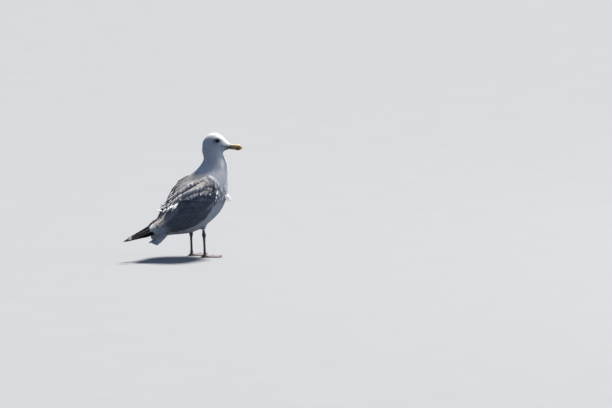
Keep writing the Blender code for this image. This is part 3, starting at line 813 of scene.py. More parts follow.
def grow_coat(name, where, settings):
    """One piece of the coat over the part of the skin that where marks from 0 to 1."""
    mesh = SKIN.data.copy()
    mark(mesh, "region", where)
    carrier = new_object(name, mesh)
    modifier = carrier.modifiers.new("Coat", "NODES")
    modifier.node_group = COAT_TREE
    values = {"Region": "region", "Columns": 3, "Rows": 4, "Roundness": 2.2, "Lift": 0.5 * MM, "Ruffle": 0.5,
              "Length": 1.0, "Width": 1.0, "Finish": PLUMAGE, **settings}
    for item in COAT_TREE.interface.items_tree:
        if item.in_out == "INPUT" and item.name in values:
            modifier[item.identifier] = values[item.name]
    grown = evaluated_mesh(carrier)
    carrier.modifiers.remove(modifier)
    carrier.data = grown
    soften(grown, 0.7)
    for layer in ("region", "lie", "depth", "tuft_length", "tuft_width", "unwrap", "outward"):
        if layer in grown.attributes:
            grown.attributes.remove(grown.attributes[layer])
    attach(carrier, "root")
    print(name, "faces", len(grown.polygons))


def coat_regions():
    """Which vertex of the skin grows which piece of the coat, as shares from 0 to 1."""
    along, grey = FACTS["along"], FACTS["grey"]
    wing, thigh, eye = FACTS["wing"], FACTS["thigh"], FACTS["eye"]
    ahead = FACTS["straight"][:, 0] / MM - bill_root()
    # the feathers reach furthest along the upper bill
    wedge = 4.5 * bump(FACTS["straight"][:, 2] / MM, 341.5, 3.5)
    bare = (eye < EYE_RADIUS + 0.9 * MM) | (ahead > 2.0 + wedge) | ((FACTS["facing"] < 0.1) & (along < 120))
    rest = np.where(bare, 0.0, 1.0)
    regions = {}

    def take(name, share):
        nonlocal rest
        regions[name] = rest * np.clip(share, 0, 1)
        rest = rest - regions[name]

    take("coat_thighs", (thigh > 0.5) * 1.0)
    take("coat_face", (along > 398) * 1.0)
    take("coat_head", (along > 352) * 1.0)
    is_grey = (grey > 0.5) * 1.0
    left = (FACTS["straight"][:, 1] > 0) * 1.0
    take("coat_back_left", is_grey * left * (wing < 0.5))
    take("coat_back_right", is_grey * (wing < 0.5))
    take("coat_wing_left", is_grey * left)
    take("coat_wing_right", is_grey)
    take("coat_neck", (along > 268) * 1.0)
    take("coat_breast", (along > 150) * 1.0)
    take("coat_belly", (along > 40) * 1.0)
    take("coat_rump", np.ones(len(rest)))
    return regions


COATS = {
    "coat_face": dict(Spacing=0.47 * MM, Seed=1, Lift=0.06 * MM, Ruffle=0.25, Roundness=2.6),
    "coat_head": dict(Spacing=0.72 * MM, Seed=2, Lift=0.10 * MM, Ruffle=0.25),
    "coat_neck": dict(Spacing=1.0 * MM, Seed=3, Lift=0.18 * MM, Ruffle=0.3),
    "coat_breast": dict(Spacing=1.3 * MM, Seed=4, Lift=0.35 * MM, Ruffle=0.4),
    "coat_belly": dict(Spacing=1.5 * MM, Seed=5, Lift=0.4 * MM, Ruffle=0.4),
    "coat_rump": dict(Spacing=1.4 * MM, Seed=6, Lift=0.5 * MM, Ruffle=0.4),
    "coat_thighs": dict(Spacing=1.0 * MM, Seed=7, Length=0.5, Width=0.6, Lift=0.3 * MM),
    "coat_back_left": dict(Spacing=2.4 * MM, Seed=8, Columns=5, Rows=6, Roundness=3.5, Width=1.6,
                           Lift=0.8 * MM, Length=0.9, Finish=MANTLE),
    "coat_wing_left": dict(Spacing=2.6 * MM, Seed=10, Columns=5, Rows=6, Roundness=4.0, Width=1.7,
                           Lift=0.35 * MM, Ruffle=0.25, Length=0.9, Finish=MANTLE),
}
for coat_name in ("coat_back", "coat_wing"):
    left_coat = COATS[coat_name + "_left"]
    COATS[coat_name + "_right"] = dict(left_coat, Seed=left_coat["Seed"] + 1)
for coat_name, coat_share in coat_regions().items():
    grow_coat(coat_name, coat_share, COATS[coat_name])

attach(SKIN, "root")
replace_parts(SKIN, *FLESH)


def skin_finish():
    made, tree, shader, place = finish("down_on_skin", 0.9)
    down = tree.noise(place, 900.0, 3.0)
    colour = tree.scaled(tree.attribute("pelt", "Color"), tree.rise(down, 0.3, 0.7, 0.86, 1.0, "LINEAR"))
    tree.fill(shader.inputs["Base Color"], colour)
    relief(tree, shader, down, 0.0004)
    return made


SKIN.data.materials.append(skin_finish())
for coat_layer in ("lie", "depth", "tuft_length", "tuft_width", "unwrap", "fringe"):
    SKIN.data.attributes.remove(SKIN.data.attributes[coat_layer])


# ---------------------------------------------------------------- long feathers
OFF_SKIN = 1.2 * MM  # a free feather further than this from the skin has left it


def blade_faces(rows, cols):
    """Faces of a closed blade: an upper grid, and an under grid that shares the upper one's rim."""
    top = np.arange(rows * cols).reshape(rows, cols)
    under = top.copy()
    under[1:-1, 1:-1] = rows * cols + np.arange((rows - 2) * (cols - 2)).reshape(rows - 2, cols - 2)
    faces = []
    for grid, flip in ((top, False), (under, True)):
        for i in range(rows - 1):
            for k in range(cols - 1):
                quad = [grid[i, k], grid[i, k + 1], grid[i + 1, k + 1], grid[i + 1, k]]
                faces.append(quad[::-1] if flip else quad)
    return np.array(faces)


CELL_MARGIN = 0.06  # round each long feather, in its cell of the map


class Feathers:
    """Gathers long feathers as thin closed blades, and makes one piece of them."""

    def __init__(self, name, material, slot, rows=13, cols=7, seed=1):
        self.name, self.material, self.slot = name, material, slot
        self.rows, self.cols = rows, cols
        self.faces = blade_faces(rows, cols)
        self.random = np.random.default_rng(seed)
        self.blades = []

    def add(self, middle, aside, up, half_width, paint, tip="round", thick=0.35 * MM, camber=0.06, fringe=1.0,
            hug=None, lean=0.0, ragged=0.10, inner=1.0, free=False):
        """middle has a row for each step from root to tip, and so have aside and up, or one row for all.

        hug gives the height over the skin; with free, only where the skin is near.
        """
        rows, cols = self.rows, self.cols
        aside, up = (np.broadcast_to(way, (rows, 3)) for way in (aside, up))
        steps = 1 - (1 - np.linspace(0, 1, rows)) ** 1.35
        t, u = np.broadcast_arrays(steps[:, None], np.linspace(-1, 1, cols)[None])
        power = {"round": 5.0, "blunt": 12.0, "point": 2.0}[tip]
        share = (0.32 + 0.68 * ease(t, 0, 0.35)) * np.sqrt(np.clip(1 - t**power, 0.0, 1))
        share = np.maximum(share, 0.07)
        share = share * (1 - ragged * self.random.random((rows, 1)))
        notch = self.random.integers(rows // 3, rows - 2)
        offset = u * share * np.where(u > 0, 1.0, inner) * half_width
        if self.random.random() < 0.6:
            offset[notch, self.random.choice([0, cols - 1])] *= 0.8
        even = np.linspace(0, 1, len(middle))
        middle = np.stack([np.interp(steps, even, middle[:, k]) for k in range(3)], axis=1)
        back = 0.5 * (u * share) ** 2 * ease(t, 0.3, 0.9) * half_width
        ahead = unit(np.gradient(middle, axis=0))
        points = middle[:, None] + aside[:, None] * offset[..., None] - ahead[:, None] * back[..., None]
        lift = -camber * half_width * u**2 * share + lean * offset
        normals = np.broadcast_to(up[:, None], points.shape).copy()
        if hug is None:
            points = points + normals * lift[..., None]
        else:
            self.settle(points, normals, hug(steps)[:, None] + lift, free)
        deep = points - normals * thick * (1 - u**2)[..., None]
        chance = self.random.random()
        layers = dict(across=u, along=t, chance=np.full(t.shape, chance), fringe=np.full(t.shape, fringe))
        layers = {key: self.both(value[..., None])[:, 0] for key, value in layers.items()}
        layers["pelt"] = self.both(np.concatenate([paint(t, u, chance), np.ones((rows, cols, 1))], axis=2))
        self.blades.append((self.both(points, deep), layers))

    @staticmethod
    def both(upper, under=None):
        """The rows of the upper grid, and of the under grid but for the rim that the two share."""
        under = upper if under is None else under
        return np.concatenate([grid.reshape(-1, upper.shape[2]) for grid in (upper, under[1:-1, 1:-1])])

    def settle(self, points, normals, height, free):
        """Puts each point at its height over the skin, in place; free ones beyond the skin's end stay."""
        for i, k in np.ndindex(height.shape):
            hit, normal, _, gap = SKIN_TREE.find_nearest(Vector(points[i, k]))
            if free and gap > OFF_SKIN:
                hit, normal = points[i, k], normals[i, k]
            points[i, k] = np.array(hit) + np.array(normal) * max(height[i, k], 0.4 * MM)
            normals[i, k] = normal

    def make(self):
        step = len(self.blades[0][0])
        points = np.concatenate([blade[0] for blade in self.blades])
        faces = np.concatenate([self.faces + i * step for i in range(len(self.blades))])
        mesh = bpy.data.meshes.new(self.name)
        mesh.from_pydata(points.tolist(), [], faces.tolist())
        layers = {key: np.concatenate([blade[1][key] for blade in self.blades]) for key in self.blades[0][1]}
        for key, values in layers.items():
            mark(mesh, key, values)
        # on the map, each feather has a cell of its own with a margin round it
        side = math.ceil(math.sqrt(len(self.blades)))
        cell = np.repeat(np.arange(len(self.blades)), step)
        map_x = cell % side + 0.5 + layers["across"] * (0.5 - CELL_MARGIN)
        map_y = cell // side + CELL_MARGIN + layers["along"] * (1 - 2 * CELL_MARGIN)
        lay_uv(mesh, np.stack([map_x, map_y], axis=1) / side)
        mesh.materials.append(self.material)
        mesh.shade_smooth()
        piece = new_object(self.name, mesh)
        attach(piece, "root")
        print(self.name, "feathers", len(self.blades), "faces", len(mesh.polygons))
        return piece


def skin_site(along, round_it, side):
    """The point of the skin at a place along and round the body."""
    start = np.array([np.interp(along, SPINE_RUN, SPINE_LINE[:, k]) for k in (0, 1)])
    ahead = unit(np.array([np.interp(along, SPINE_RUN, SPINE_AHEAD[:, k]) for k in (0, 1)]))
    turn = math.radians(round_it)
    way = np.array([-ahead[1] * math.cos(turn), SIDES[side] * math.sin(turn), ahead[0] * math.cos(turn)])
    hit, *_ = SKIN_TREE.ray_cast(Vector((start[0], 0, start[1])), Vector(way))
    return np.array(hit)


def skin_walk(root, length, count, turn, side, free=False):
    """Steps over the skin along the lie of the feathers, turned by turn degrees towards the belly.

    With free, a feather that leaves the skin's end behind runs straight on from there.
    """
    polygons = SKIN.data.polygons
    here, step, heading = Vector(root), length / (count - 1), None
    middle, up, ahead, off = [], [], [], False
    for i in range(count):
        hit, normal, index, gap = SKIN_TREE.find_nearest(here)
        off = off or (free and i > 2 and gap > OFF_SKIN)
        if off:
            hit, normal = here, up[-1]
        else:
            lie = Vector(FACTS["lie"][list(polygons[index].vertices)].mean(axis=0))
            angle = math.radians(turn) * SIDES[side]
            aim = lie * math.cos(angle) - normal.cross(lie) * math.sin(angle)
            heading = aim if heading is None else heading.lerp(aim, 0.35)
            heading = (heading - normal * heading.dot(normal)).normalized()
        middle.append(hit)
        up.append(normal)
        ahead.append(heading)
        here = hit + heading * step
    middle, up, ahead = np.array(middle), np.array(up), np.array(ahead)
    return middle, up, np.cross(ahead, up) * -SIDES[side]


def depth_at(along):
    return float(np.interp(along, ALONG, DEPTH)) * MM


def painter(base, tip=None, tip_from=0.9, stain=0.0, warm=0.12, fade=0.05, deep=0.0):
    """A feather's colour: base, browner at random, darker by deep at its root as painted shade, with or
    without a pale tip.
    """

    def paint(t, u, chance):
        shade = base * (0.88 + 0.24 * chance)
        colour = np.broadcast_to(shade, t.shape + (3,)).copy()
        brown = np.array([0.25, 0.20, 0.155])
        wash = np.clip(warm + stain * math.sin(chance * 97.0), 0, 1)
        # deep darkens the root: painted shade where the feather lies under the one before
        colour = (colour * (1 - wash) + brown * wash) * (1 - deep * (1 - ease(t, 0.35, 0.75)))[..., None]
        if tip is not None:
            share = ease(t + 0.05 * np.abs(u), tip_from, tip_from + fade)[..., None]
            colour = colour * (1 - share) + tip * share
        return colour

    return paint


def lay_row(feathers, side, path, count, length, half_width, height, lift, paint, turn=0.0, wild=0.3,
            lean=0.0, fringe=1.0, tip="round", tips=False, free=False, by_place=False, ragged=0.10):
    """A row of feathers over the skin, with their roots, or with tips their tips, along a path.

    The path holds places along and round the body. Other values may run from the first feather to the last.
    """
    random = feathers.random
    path = np.array(path, float)
    run = np.concatenate([[0], np.cumsum(np.linalg.norm(np.diff(path, axis=0), axis=1))])
    for i in range(count):
        share = i / max(count - 1, 1)
        pick = lambda pair: pair[0] + (pair[1] - pair[0]) * share if isinstance(pair, tuple) else pair
        jog = random.uniform(-1, 1, 5) * wild
        long = pick(length) * (1 + 0.12 * jog[2])
        along, round_it = (np.interp(run[-1] * share, run, path[:, k]) for k in (0, 1))
        place = along + jog[0] * 6 + (long * 0.92 if tips else 0)
        root = skin_site(place, round_it + jog[1] * 6, side)
        middle, up, aside = skin_walk(root, long * MM, feathers.rows, pick(turn) + jog[3] * 12, side, free)
        base = depth_at(place) * 0.75 + pick(height) * MM
        top = pick(lift) * MM * (1 + 0.8 * jog[4])
        hug = lambda t, base=base, top=top: base * (0.25 + 0.75 * ease(t, 0, 0.25)) + top * t**1.6
        colour = paint(along) if by_place else paint
        feathers.add(middle, aside, up, pick(half_width) * MM, colour, tip=tip, hug=hug,
                     lean=lean + 0.10 * jog[3], fringe=fringe, free=free, ragged=ragged)


def between(above, under, share):
    """A line on the body between two others."""
    above, under = (smooth_line(line, 12)[0] for line in (above, under))
    return above * (1 - share) + under * share


TERTIAL = np.array([0.31, 0.292, 0.285])
# SCAPULAR is paler than the bird's grey: partly worn, bleached feathers, partly painted light on the sunlit
# top of the back
SCAPULAR = np.array([0.60, 0.565, 0.55])
# along and round of the first and last feather, count, length, half width, height over the row before
COVERT_ROWS = [
    ([(190, 113), (96, 62)], 20, (42, 62), 5.6, 0.0),
    ([(206, 108), (112, 54)], 20, (34, 46), 5.4, 0.5),
    ([(214, 101), (128, 48)], 17, (24, 28), 5.6, 0.9),
    ([(219, 94), (142, 44)], 15, (18, 20), 5.4, 1.1),
    ([(223, 87), (156, 42)], 13, (15, 17), 5.2, 1.2),
    ([(230, 79), (176, 46)], 11, (13, 15), 5.0, 1.3),
    ([(236, 70), (190, 56)], 9, (12, 14), 4.8, 1.3),
]
TOP = [(240, 30), (216, 22), (190, 12), (160, 0)]
SCAPULAR_ROWS = [  # the line of the tips, count, lift of the tips
    (TOP, 14, 1.2), (between(TOP, LEDGES[0], 0.5), 16, 1.4), (LEDGES[0], 17, 4.6),
    (between(LEDGES[0], LEDGES[1], 0.35), 17, 1.3), (between(LEDGES[0], LEDGES[1], 0.7), 18, 1.5),
    (LEDGES[1], 20, 4.9), (between(LEDGES[1], LEDGES[2], 0.5), 20, 1.5), (LEDGES[2], 23, 4.0),
]
for side, covert_seed in {"right": 4, "left": 3}.items():
    coverts = Feathers("coverts_" + side, MANTLE, "wing_feathers", rows=10, cols=5, seed=covert_seed)
    # the wing's side in GREY, which holds painted shade
    plain = painter(GREY, warm=0.04, stain=0.03)
    for path, count, length, half_width, height in COVERT_ROWS:
        lay_row(coverts, side, path, count, length, half_width, height, 0.45, plain, turn=9, fringe=0.22,
                wild=0.12, lean=-0.06)
    coverts.make()

    # a whitish row under the tertials hides where the long dark feathers come out
    skirt = Feathers("secondaries_" + side, BROAD, "wing_feathers", rows=14, cols=7, seed=6)
    # the white of their tips is tinted grey-blue: painted shade
    pale = painter(GREY * 1.1, tip=np.array([0.66, 0.69, 0.74]), tip_from=0.15, fade=0.5, warm=0.02)
    lay_row(skirt, side, [(58, 114), (60, 46)], 10, (54, 76), 7.0, (0.2, 0.6), 0.5, pale, turn=(4, -2),
            wild=0.12, fringe=0.3, tip="blunt", free=True)
    skirt.make()

    tertials = Feathers("tertials_" + side, BROAD, "wing_feathers", rows=18, cols=7, seed=5)
    worn = painter(TERTIAL, tip=WHITE, tip_from=0.86, warm=0.12, stain=0.15)
    ends = [(118, 44), (110, 29), (99, 15), (88, -2)]
    lay_row(tertials, side, ends, 8, (128, 104), (8.5, 9.5), (1.2, 3.4), 2.0, worn, turn=(-1, 2), wild=0.10,
            fringe=0.6, tip="blunt", lean=0.16, free=True)
    tertials.make()

    scapulars = Feathers("scapulars_" + side, BROAD, "wing_feathers", rows=12, cols=7, seed=7)
    # darker at the roots, where each row lies in the shade of the one above: painted shade
    worn = painter(SCAPULAR, warm=0.08, stain=0.10, deep=0.4)
    white_tip = painter(SCAPULAR, tip=WHITE, tip_from=0.66, warm=0.04)
    shaded = painter(GREY * 1.15, warm=0.06, stain=0.04)  # painted shade at the bend of the wing, whose feathers are darker there too

    def shoulder_paint(row, along):
        if row >= 4 and along > 200:
            return shaded
        return white_tip if row == 7 and along < 116 else worn

    for row, (line, count, lift) in enumerate(SCAPULAR_ROWS):
        lay_row(scapulars, side, line, count, (29, 44), (4.7, 7.4), 1.0, (lift, lift * 1.2),
                lambda along, row=row: shoulder_paint(row, along),
                turn=(8, 0), wild=0.42, lean=0.10, fringe=0.8, tips=True, by_place=True)
    crescent = painter(SCAPULAR, tip=WHITE * 1.03, tip_from=0.40, warm=0.03, stain=0.03, fade=0.3)
    for shift, count, lift in ((0, 11, (5.2, 4.2)), (5, 9, (4.8, 4.0))):
        ends = [(84 + shift, 36), (80 + shift, 26), (72 + shift, 14), (64 + shift, 3)]
        lay_row(scapulars, side, ends, count, (34, 40), 4.7, 2.4 + 0.2 * shift, lift, crescent, turn=(9, 0),
                wild=0.7, lean=0.22, fringe=0.5, tips=True, ragged=0.28)
    scapulars.make()


# ---------------------------------------------------------------- wing tips and tail
def straight_blade(start, end, count, bow):
    """Steps from start to end along a line that bows upward half way."""
    share = np.linspace(0, 1, count)[:, None]
    return start + (end - start) * share + np.array([0, 0, bow]) * np.sin(math.pi * share)


def make_primaries(side, seed):
    """The dark feathers of a folded wing tip: the longest lies lowest, and each next one ends sooner."""
    piece = Feathers("wing_tip_" + side, QUILL, "primary_feathers", rows=20, cols=7, seed=seed)
    out = SIDES[side]
    low, high = (np.array(corner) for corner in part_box("primaries_" + side))
    tip = np.array([low[0] + 0.5 * MM, out * 12.0 * MM, low[2] + 2.6 * MM])
    # where they leave the wing
    root = np.array([high[0], out * 12.5 * MM, (low[2] + high[2]) / 2 + 3.0 * MM])
    along = unit(tip - root)
    outward = unit(np.array([0, out, math.tan(math.radians(28))]))
    outward = unit(outward - along * along.dot(outward))
    upward = np.cross(along, outward)
    upward = upward if upward[2] > 0 else -upward
    for i in range(7):
        back = 13.5 * MM * i
        rise = (3.1 + 0.09 * back / MM if i else 0.0) * MM
        end = tip - along * back + upward * rise + outward * 0.45 * MM * i
        start = np.array([-86, out * (24.0 + 0.5 * i), 88 + 2.6 * i]) * MM

        def paint(t, u, chance, i=i):
            colour = np.broadcast_to(BLACK * (0.8 + 0.6 * chance), t.shape + (3,)).copy()
            base = (1 - ease(t, 0.25, 0.6))[..., None]
            colour = colour * (1 - base) + BLACK * 1.8 * base
            spot = ease(t, 0.955, 0.975) * (1.0 if i else 0.6)
            if i == 0:
                spot = np.maximum(spot, bump(t, 0.80, 0.035) * (u < 0.3) * 0.9)
            spot = spot[..., None]
            return colour * (1 - spot) + WHITE * 0.9 * spot

        piece.add(straight_blade(start, end, piece.rows, 2.4 * MM), -upward, outward, 7.6 * MM, paint,
                  tip="point", thick=0.5 * MM, camber=0.05, fringe=0.04, inner=1.25, ragged=0.05, lean=0.03)
    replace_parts(piece.make(), "primaries_" + side)


def add_covert(piece, start, end, bow, facing, half_width, paint, fringe=0.3):
    """One short feather, nearly straight from start to end."""
    facing = unit(facing)
    aside = unit(np.cross(facing, unit(end - start)))
    piece.add(straight_blade(start, end, piece.rows, bow * MM), aside, facing, half_width * MM, paint,
              thick=0.4 * MM, camber=0.08, fringe=fringe)


def make_tail():
    piece = Feathers("tail_feathers", QUILL, "tail_feathers", rows=16, cols=7, seed=21)
    low = np.array(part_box("tail")[0])
    tip = np.array([low[0] + 1.0 * MM, 0, low[2] + 7.5 * MM])
    root = tip + np.array([61, 0, 32]) * MM
    along = unit(tip - root)
    up = np.cross(along, [0, 1, 0])
    up = up if up[2] > 0 else -up
    # from both sides to the middle, which lies on top
    for k in sorted(range(12), key=lambda k: -abs(k - 5.5)):
        f = (k - 5.5) / 5.5
        start = root + np.array([0, f * 6, 0]) * MM - up * (1.0 + 1.6 * abs(f)) * MM
        fan = np.array([0, f * 21.5, 0]) - up * (8.5 * f * f + 1.4 * abs(f)) - along * 5 * abs(f) ** 3
        end = tip + fan * MM
        facing = unit(up + np.array([0, 0.62 * f, 0]))
        aside = np.cross(facing, unit(end - start))
        aside = aside if aside[1] > 0 else -aside

        def paint(t, u, chance, k=k):
            fleck = np.clip(np.sin(t * 61 + k * 2.1) * np.cos(u * 3.3 + k) + 0.1, 0, 1)
            band = bump(t, 0.86, 0.07) * fleck * (1.0 if k in (0, 1, 2, 9, 11) else 0.25)
            band = np.clip(band, 0, 0.9)[..., None]
            # the white is tinted a little grey-blue: painted shade
            return WHITE * [0.90, 0.93, 0.97] * (1 - band) + DUSK * 0.8 * band

        piece.add(straight_blade(start, end, piece.rows, 0.6 * MM), aside, facing, 7.4 * MM, paint,
                  tip="blunt", thick=0.45 * MM, camber=0.04, fringe=0.3, lean=-0.04 * np.sign(f), ragged=0.03)
    # white coverts close the gap between the wings, over the root of the tail
    for count, ahead, height, reach in ((7, 26, 24, 0.42), (6, 34, 30, 0.2)):
        for f in (np.arange(count) - (count - 1) / 2) / 3:
            start = root + np.array([ahead, f * 9, height]) * MM
            end = root + (tip - root) * reach + np.array([0, f * 17, -3 * f * f]) * MM + up * 3.2 * MM
            add_covert(piece, start, end, 2.5, up + [0, 0.5 * f, 0], 7.0, painter(WHITE, warm=0.0), 0.2)
    for f in (np.arange(9) - 4) / 4:
        start = np.array([-46, f * 17, 118 + 2 * f * f]) * MM
        end = np.array([-104 + 4 * abs(f), f * 25, 88 + 6 * f * f]) * MM
        add_covert(piece, start, end, 2.0, [-0.45, 0.1 * f, 1.0], 7.0, painter(WHITE * 0.9, warm=0.03))
    for out, row in ((out, row) for out in SIDES.values() for row in range(3)):
        start = np.array([-64, out * (17 - row), 104 - 6 * row]) * MM
        end = np.array([-116 + 5 * row, out * (20 - row), 88 - 5 * row]) * MM
        add_covert(piece, start, end, 1.5, [-0.2, -out, 0.3], 7.5, painter(WHITE * 0.7, warm=0.05))
    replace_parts(piece.make(), "tail")


make_primaries("right", 31)
make_primaries("left", 32)
make_tail()


def make_ruffles():
    """Feathers that the wind has lifted: on the breast, at the front of the wing and behind the back."""
    # grey down at the roots of the white feathers, dark enough to paint the shade in the gaps between the
    # tufts
    down = np.array([0.30, 0.31, 0.33])

    def paint(t, u, chance):
        share = ease(t, 0.1, 0.4)[..., None]
        return down * (1 - share) + WHITE * (0.94 + 0.08 * chance) * share

    def clump(piece, centre, strands):
        """Strands that run together to one tip."""
        share = np.linspace(0, 1, len(centre))[:, None]
        for middle, up, aside, half_width in strands:
            middle = middle * (1 - 0.6 * share) + centre * 0.6 * share
            piece.add(middle, aside, up, half_width, paint, tip="point", thick=0.25 * MM, camber=0.3,
                      fringe=0.15, ragged=0.15)

    def blow_out(piece):
        """The tuft that is blown right out, forward and down."""
        ahead = unit(np.array([0.55, -0.50, -0.62]))
        face = np.array([-0.05, -0.55, 0.83])
        face = unit(face - ahead * face.dot(ahead))
        across = np.cross(ahead, face)
        for k in range(35):
            row, off = k // 7, piece.random.uniform(-1, 1, 4)
            fan = (k % 7 - 3) / 3 + 0.5 * (row % 2) / 3 + 0.12 * off[0]
            root = np.array([134, -42, 190]) + across * 7 * fan + face * (0.8 * row - 1) + ahead * 1.2 * row
            start = root * MM
            end = start + (ahead * (27 - 4.6 * row + 2.5 * off[1]) + across * 2.5 * (fan + off[2])) * MM
            piece.add(straight_blade(start, end, 9, (3.0 + 0.8 * off[3]) * MM), across, face, 2.6 * MM, paint,
                      tip="point", thick=0.12 * MM, camber=0.05, fringe=0.15, ragged=0.3)

    steps = np.linspace(0, 1, 9)
    for side in SIDES:
        piece = Feathers("breast_ruffle_" + side, PLUMAGE, "white_plumage", rows=9, cols=3, seed=41)
        random = piece.random
        for path, count, length, lift, turn in (
            ([(276, 96), (248, 130)], 8, 24, 1.6, 0), ([(262, 88), (240, 122)], 8, 26, 3.0, 5),
            ([(250, 88), (230, 114)], 8, 26, 4.6, -4), ([(240, 90), (216, 112)], 8, 24, 5.0, -10),
            ([(226, 98), (198, 112)], 7, 24, 3.6, -16), ([(208, 100), (180, 106)], 6, 20, 2.4, -24),
        ):
            for k in range(count):
                jog = random.uniform(-1, 1, 3)
                along, round_it = (path[0][n] + (path[1][n] - path[0][n]) * k / (count - 1) for n in (0, 1))
                along, round_it = along + 3 * jog[0], round_it + 3 * jog[1]
                top, strands = lift * (1 + 0.5 * jog[2]) * MM, []
                rise = (depth_at(along) * 0.6 * ease(steps, 0, 0.3) + top * steps**1.4)[:, None]
                walk = skin_walk(skin_site(along, round_it, side), length * MM, 9, turn + 10 * jog[1], side)
                centre = walk[0] + walk[1] * (rise + 0.8 * MM * steps[:, None])
                for _ in range(7):
                    off = random.uniform(-1, 1, 4)
                    root = skin_site(along + 4 * off[0], round_it + 5 * off[1], side)
                    long = length * (1 + 0.15 * off[2]) * MM
                    middle, up, aside = skin_walk(root, long, 9, turn + 10 * off[3], side)
                    strands.append((middle + up * rise, up, aside, (1.9 + 0.5 * off[0]) * MM))
                clump(piece, centre, strands)
        if side == "right":
            blow_out(piece)
        piece.make()

    loose = Feathers("loose_feathers_left", BROAD, "wing_feathers", rows=12, cols=5, seed=43)
    for k in range(3):
        start = np.array([-38 - 2 * k, 11 + 2 * k, 142 - 1.5 * k]) * MM
        end = np.array([-72 + 4 * k, 15 + k, 152 - 2 * k]) * MM
        ahead = unit(end - start)
        aside = np.cross(ahead, unit([0.1 * k - 0.1, -0.6, 0.8]))
        up = np.cross(aside, ahead)
        loose.add(straight_blade(start, end, loose.rows, (1.5 + 0.4 * k) * MM), aside, up, 4.6 * MM,
                  painter(WHITE, warm=0.0), tip="point", thick=0.3 * MM, camber=0.2, fringe=0.2, ragged=0.2)
    loose.make()


make_ruffles()


# ---------------------------------------------------------------- bill
def colour_mesh(mesh, colours):
    mark(mesh, "pelt", np.concatenate([colours, np.ones((len(colours), 1))], axis=1))


def horn_finish(name, roughness, scale, clear, depth):
    made, tree, shader, place = finish(name, roughness, clear=clear)
    grain = place_group(tree, HORN, Place=place, Scale=scale, Stretch=5.0)
    lightness = tree.rise(grain["Cloud"], 0.3, 0.7, 0.80, 1.14, "LINEAR")
    line = tree.times(tree.rise(grain["Height"], 0.56, 0.70), 0.30)
    colour = tree.blend(line, tree.scaled(tree.attribute("pelt", "Color"), lightness), rgb(0.16, 0.10, 0.04))
    tree.fill(shader.inputs["Base Color"], colour)
    rough = tree.rise(grain["Height"], 0.35, 0.7, roughness - 0.08, roughness + 0.14, "LINEAR")
    tree.fill(shader.inputs["Roughness"], rough)
    relief(tree, shader, grain["Height"], depth, 0.5)
    shader.inputs["Specular IOR Level"].default_value = 0.5
    return made


BILL_COLOURS = [np.array(colour) for colour in (
    (0.60, 0.45, 0.19), (0.23, 0.205, 0.145), (0.62, 0.32, 0.035), (0.30, 0.055, 0.014), (0.07, 0.035, 0.02),
)]


def make_bill():
    """The horn of both halves: straightened out to be shaped and coloured, then turned with the head."""
    horn = horn_finish("bill_horn", 0.50, 380.0, 0.10, 0.00015)
    yellow, olive, amber, red, brown = BILL_COLOURS
    root_x = bill_root()
    for node, upper in (("bill_upper", True), ("bill_lower", False)):
        piece = remeshed(node + "_horn", [node], 0.42 * MM, 0.0)
        mesh = piece.data
        points = relax(read(mesh), edge_list(mesh), 4, 0.5)
        write(mesh, points)
        straight = turn_head(points, back=True)
        x, y, z = (straight[:, k] / MM for k in range(3))
        run = (x - root_x) / 38.0  # 0 at the root, 1 at the tip
        out = turn_vectors(read(mesh, "normal"), points[:, 2], back=True)
        if upper:
            nostril = bump(x, root_x + 13.5, 3.4) * bump(z, 340.6, 0.9) * (np.abs(y) > 2.5)
            groove = bump(z + 0.10 * (x - root_x - 13), 340.9, 0.8)
            groove = groove * ease(run, 0.0, 0.2) * (1 - ease(run, 0.5, 0.75))
            lip = bump(z + 4.2 * run, 337.6, 0.7) * (np.abs(y) > 1.5)
            shift = -1.1 * nostril - 0.35 * groove + 0.28 * lip
        else:
            shift = 0.4 * bump(run, 0.70, 0.10) * (out[:, 2] < -0.3)  # the keel under the red spot
        shift = shift - 1.5 * (1 - ease(run, 0.0, 0.22))  # the root of the horn dips under the face
        straight = straight + out * (shift * MM)[:, None]
        straight[:, 1:] = mix(straight[:, 1:], [0, 336.5 * MM], 0.55 * (1 - ease(run, -0.2, -0.03)))
        straight[:, 2] += droop(straight)
        write(mesh, turn_head(straight))

        cloud = speckle(straight, 2.5 * MM, 7)
        colour = mix(yellow, olive, 0.85 * (1 - ease(run + 0.05 * cloud, 0.15, 0.55)))
        tip = ease(run + 0.03 * cloud, 0.70, 0.86)
        if upper:
            # lighter along the top of the upper bill, where it faces up: a painted highlight over the bill's
            # own yellow
            colour = mix(colour, [0.50, 0.40, 0.20], 0.6 * ease(out[:, 2], 0.55, 0.9))
            colour = mix(colour, brown, np.clip(nostril, 0, 1) * 0.9)
            colour = mix(colour, brown * 1.6, 0.55 * bump(z + 4.6 * run, 336.9, 0.8) * (np.abs(y) > 1.2))
        else:
            spot = bump(run + 0.02 * cloud, 0.72, 0.15) * ease(-z, -335.5, -332.0)
            colour = mix(colour, red, np.clip(spot * 1.15, 0, 0.95))
            colour = mix(colour, brown, 0.7 * bump(run, 0.80, 0.035) * ease(z, 327.5, 330.5))
            tip = tip * ease(run, 0.80, 0.9)
        colour_mesh(mesh, mix(colour, amber, tip))
        mesh.materials.append(horn)
        mesh.shade_smooth()
        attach(piece, "root")
        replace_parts(piece, node)


make_bill()


# ---------------------------------------------------------------- eyes and lids
def tube_faces(rings, turns, closed=False):
    """Faces of a tube whose points run round each ring in turn; closed joins the last ring to the first."""
    faces = []
    for i in range(rings if closed else rings - 1):
        step = turns if i < rings - 1 else turns - rings * turns
        for k in range(turns):
            a, b = i * turns + k, i * turns + (k + 1) % turns
            faces.append((a, b, b + step, a + step))
    return faces


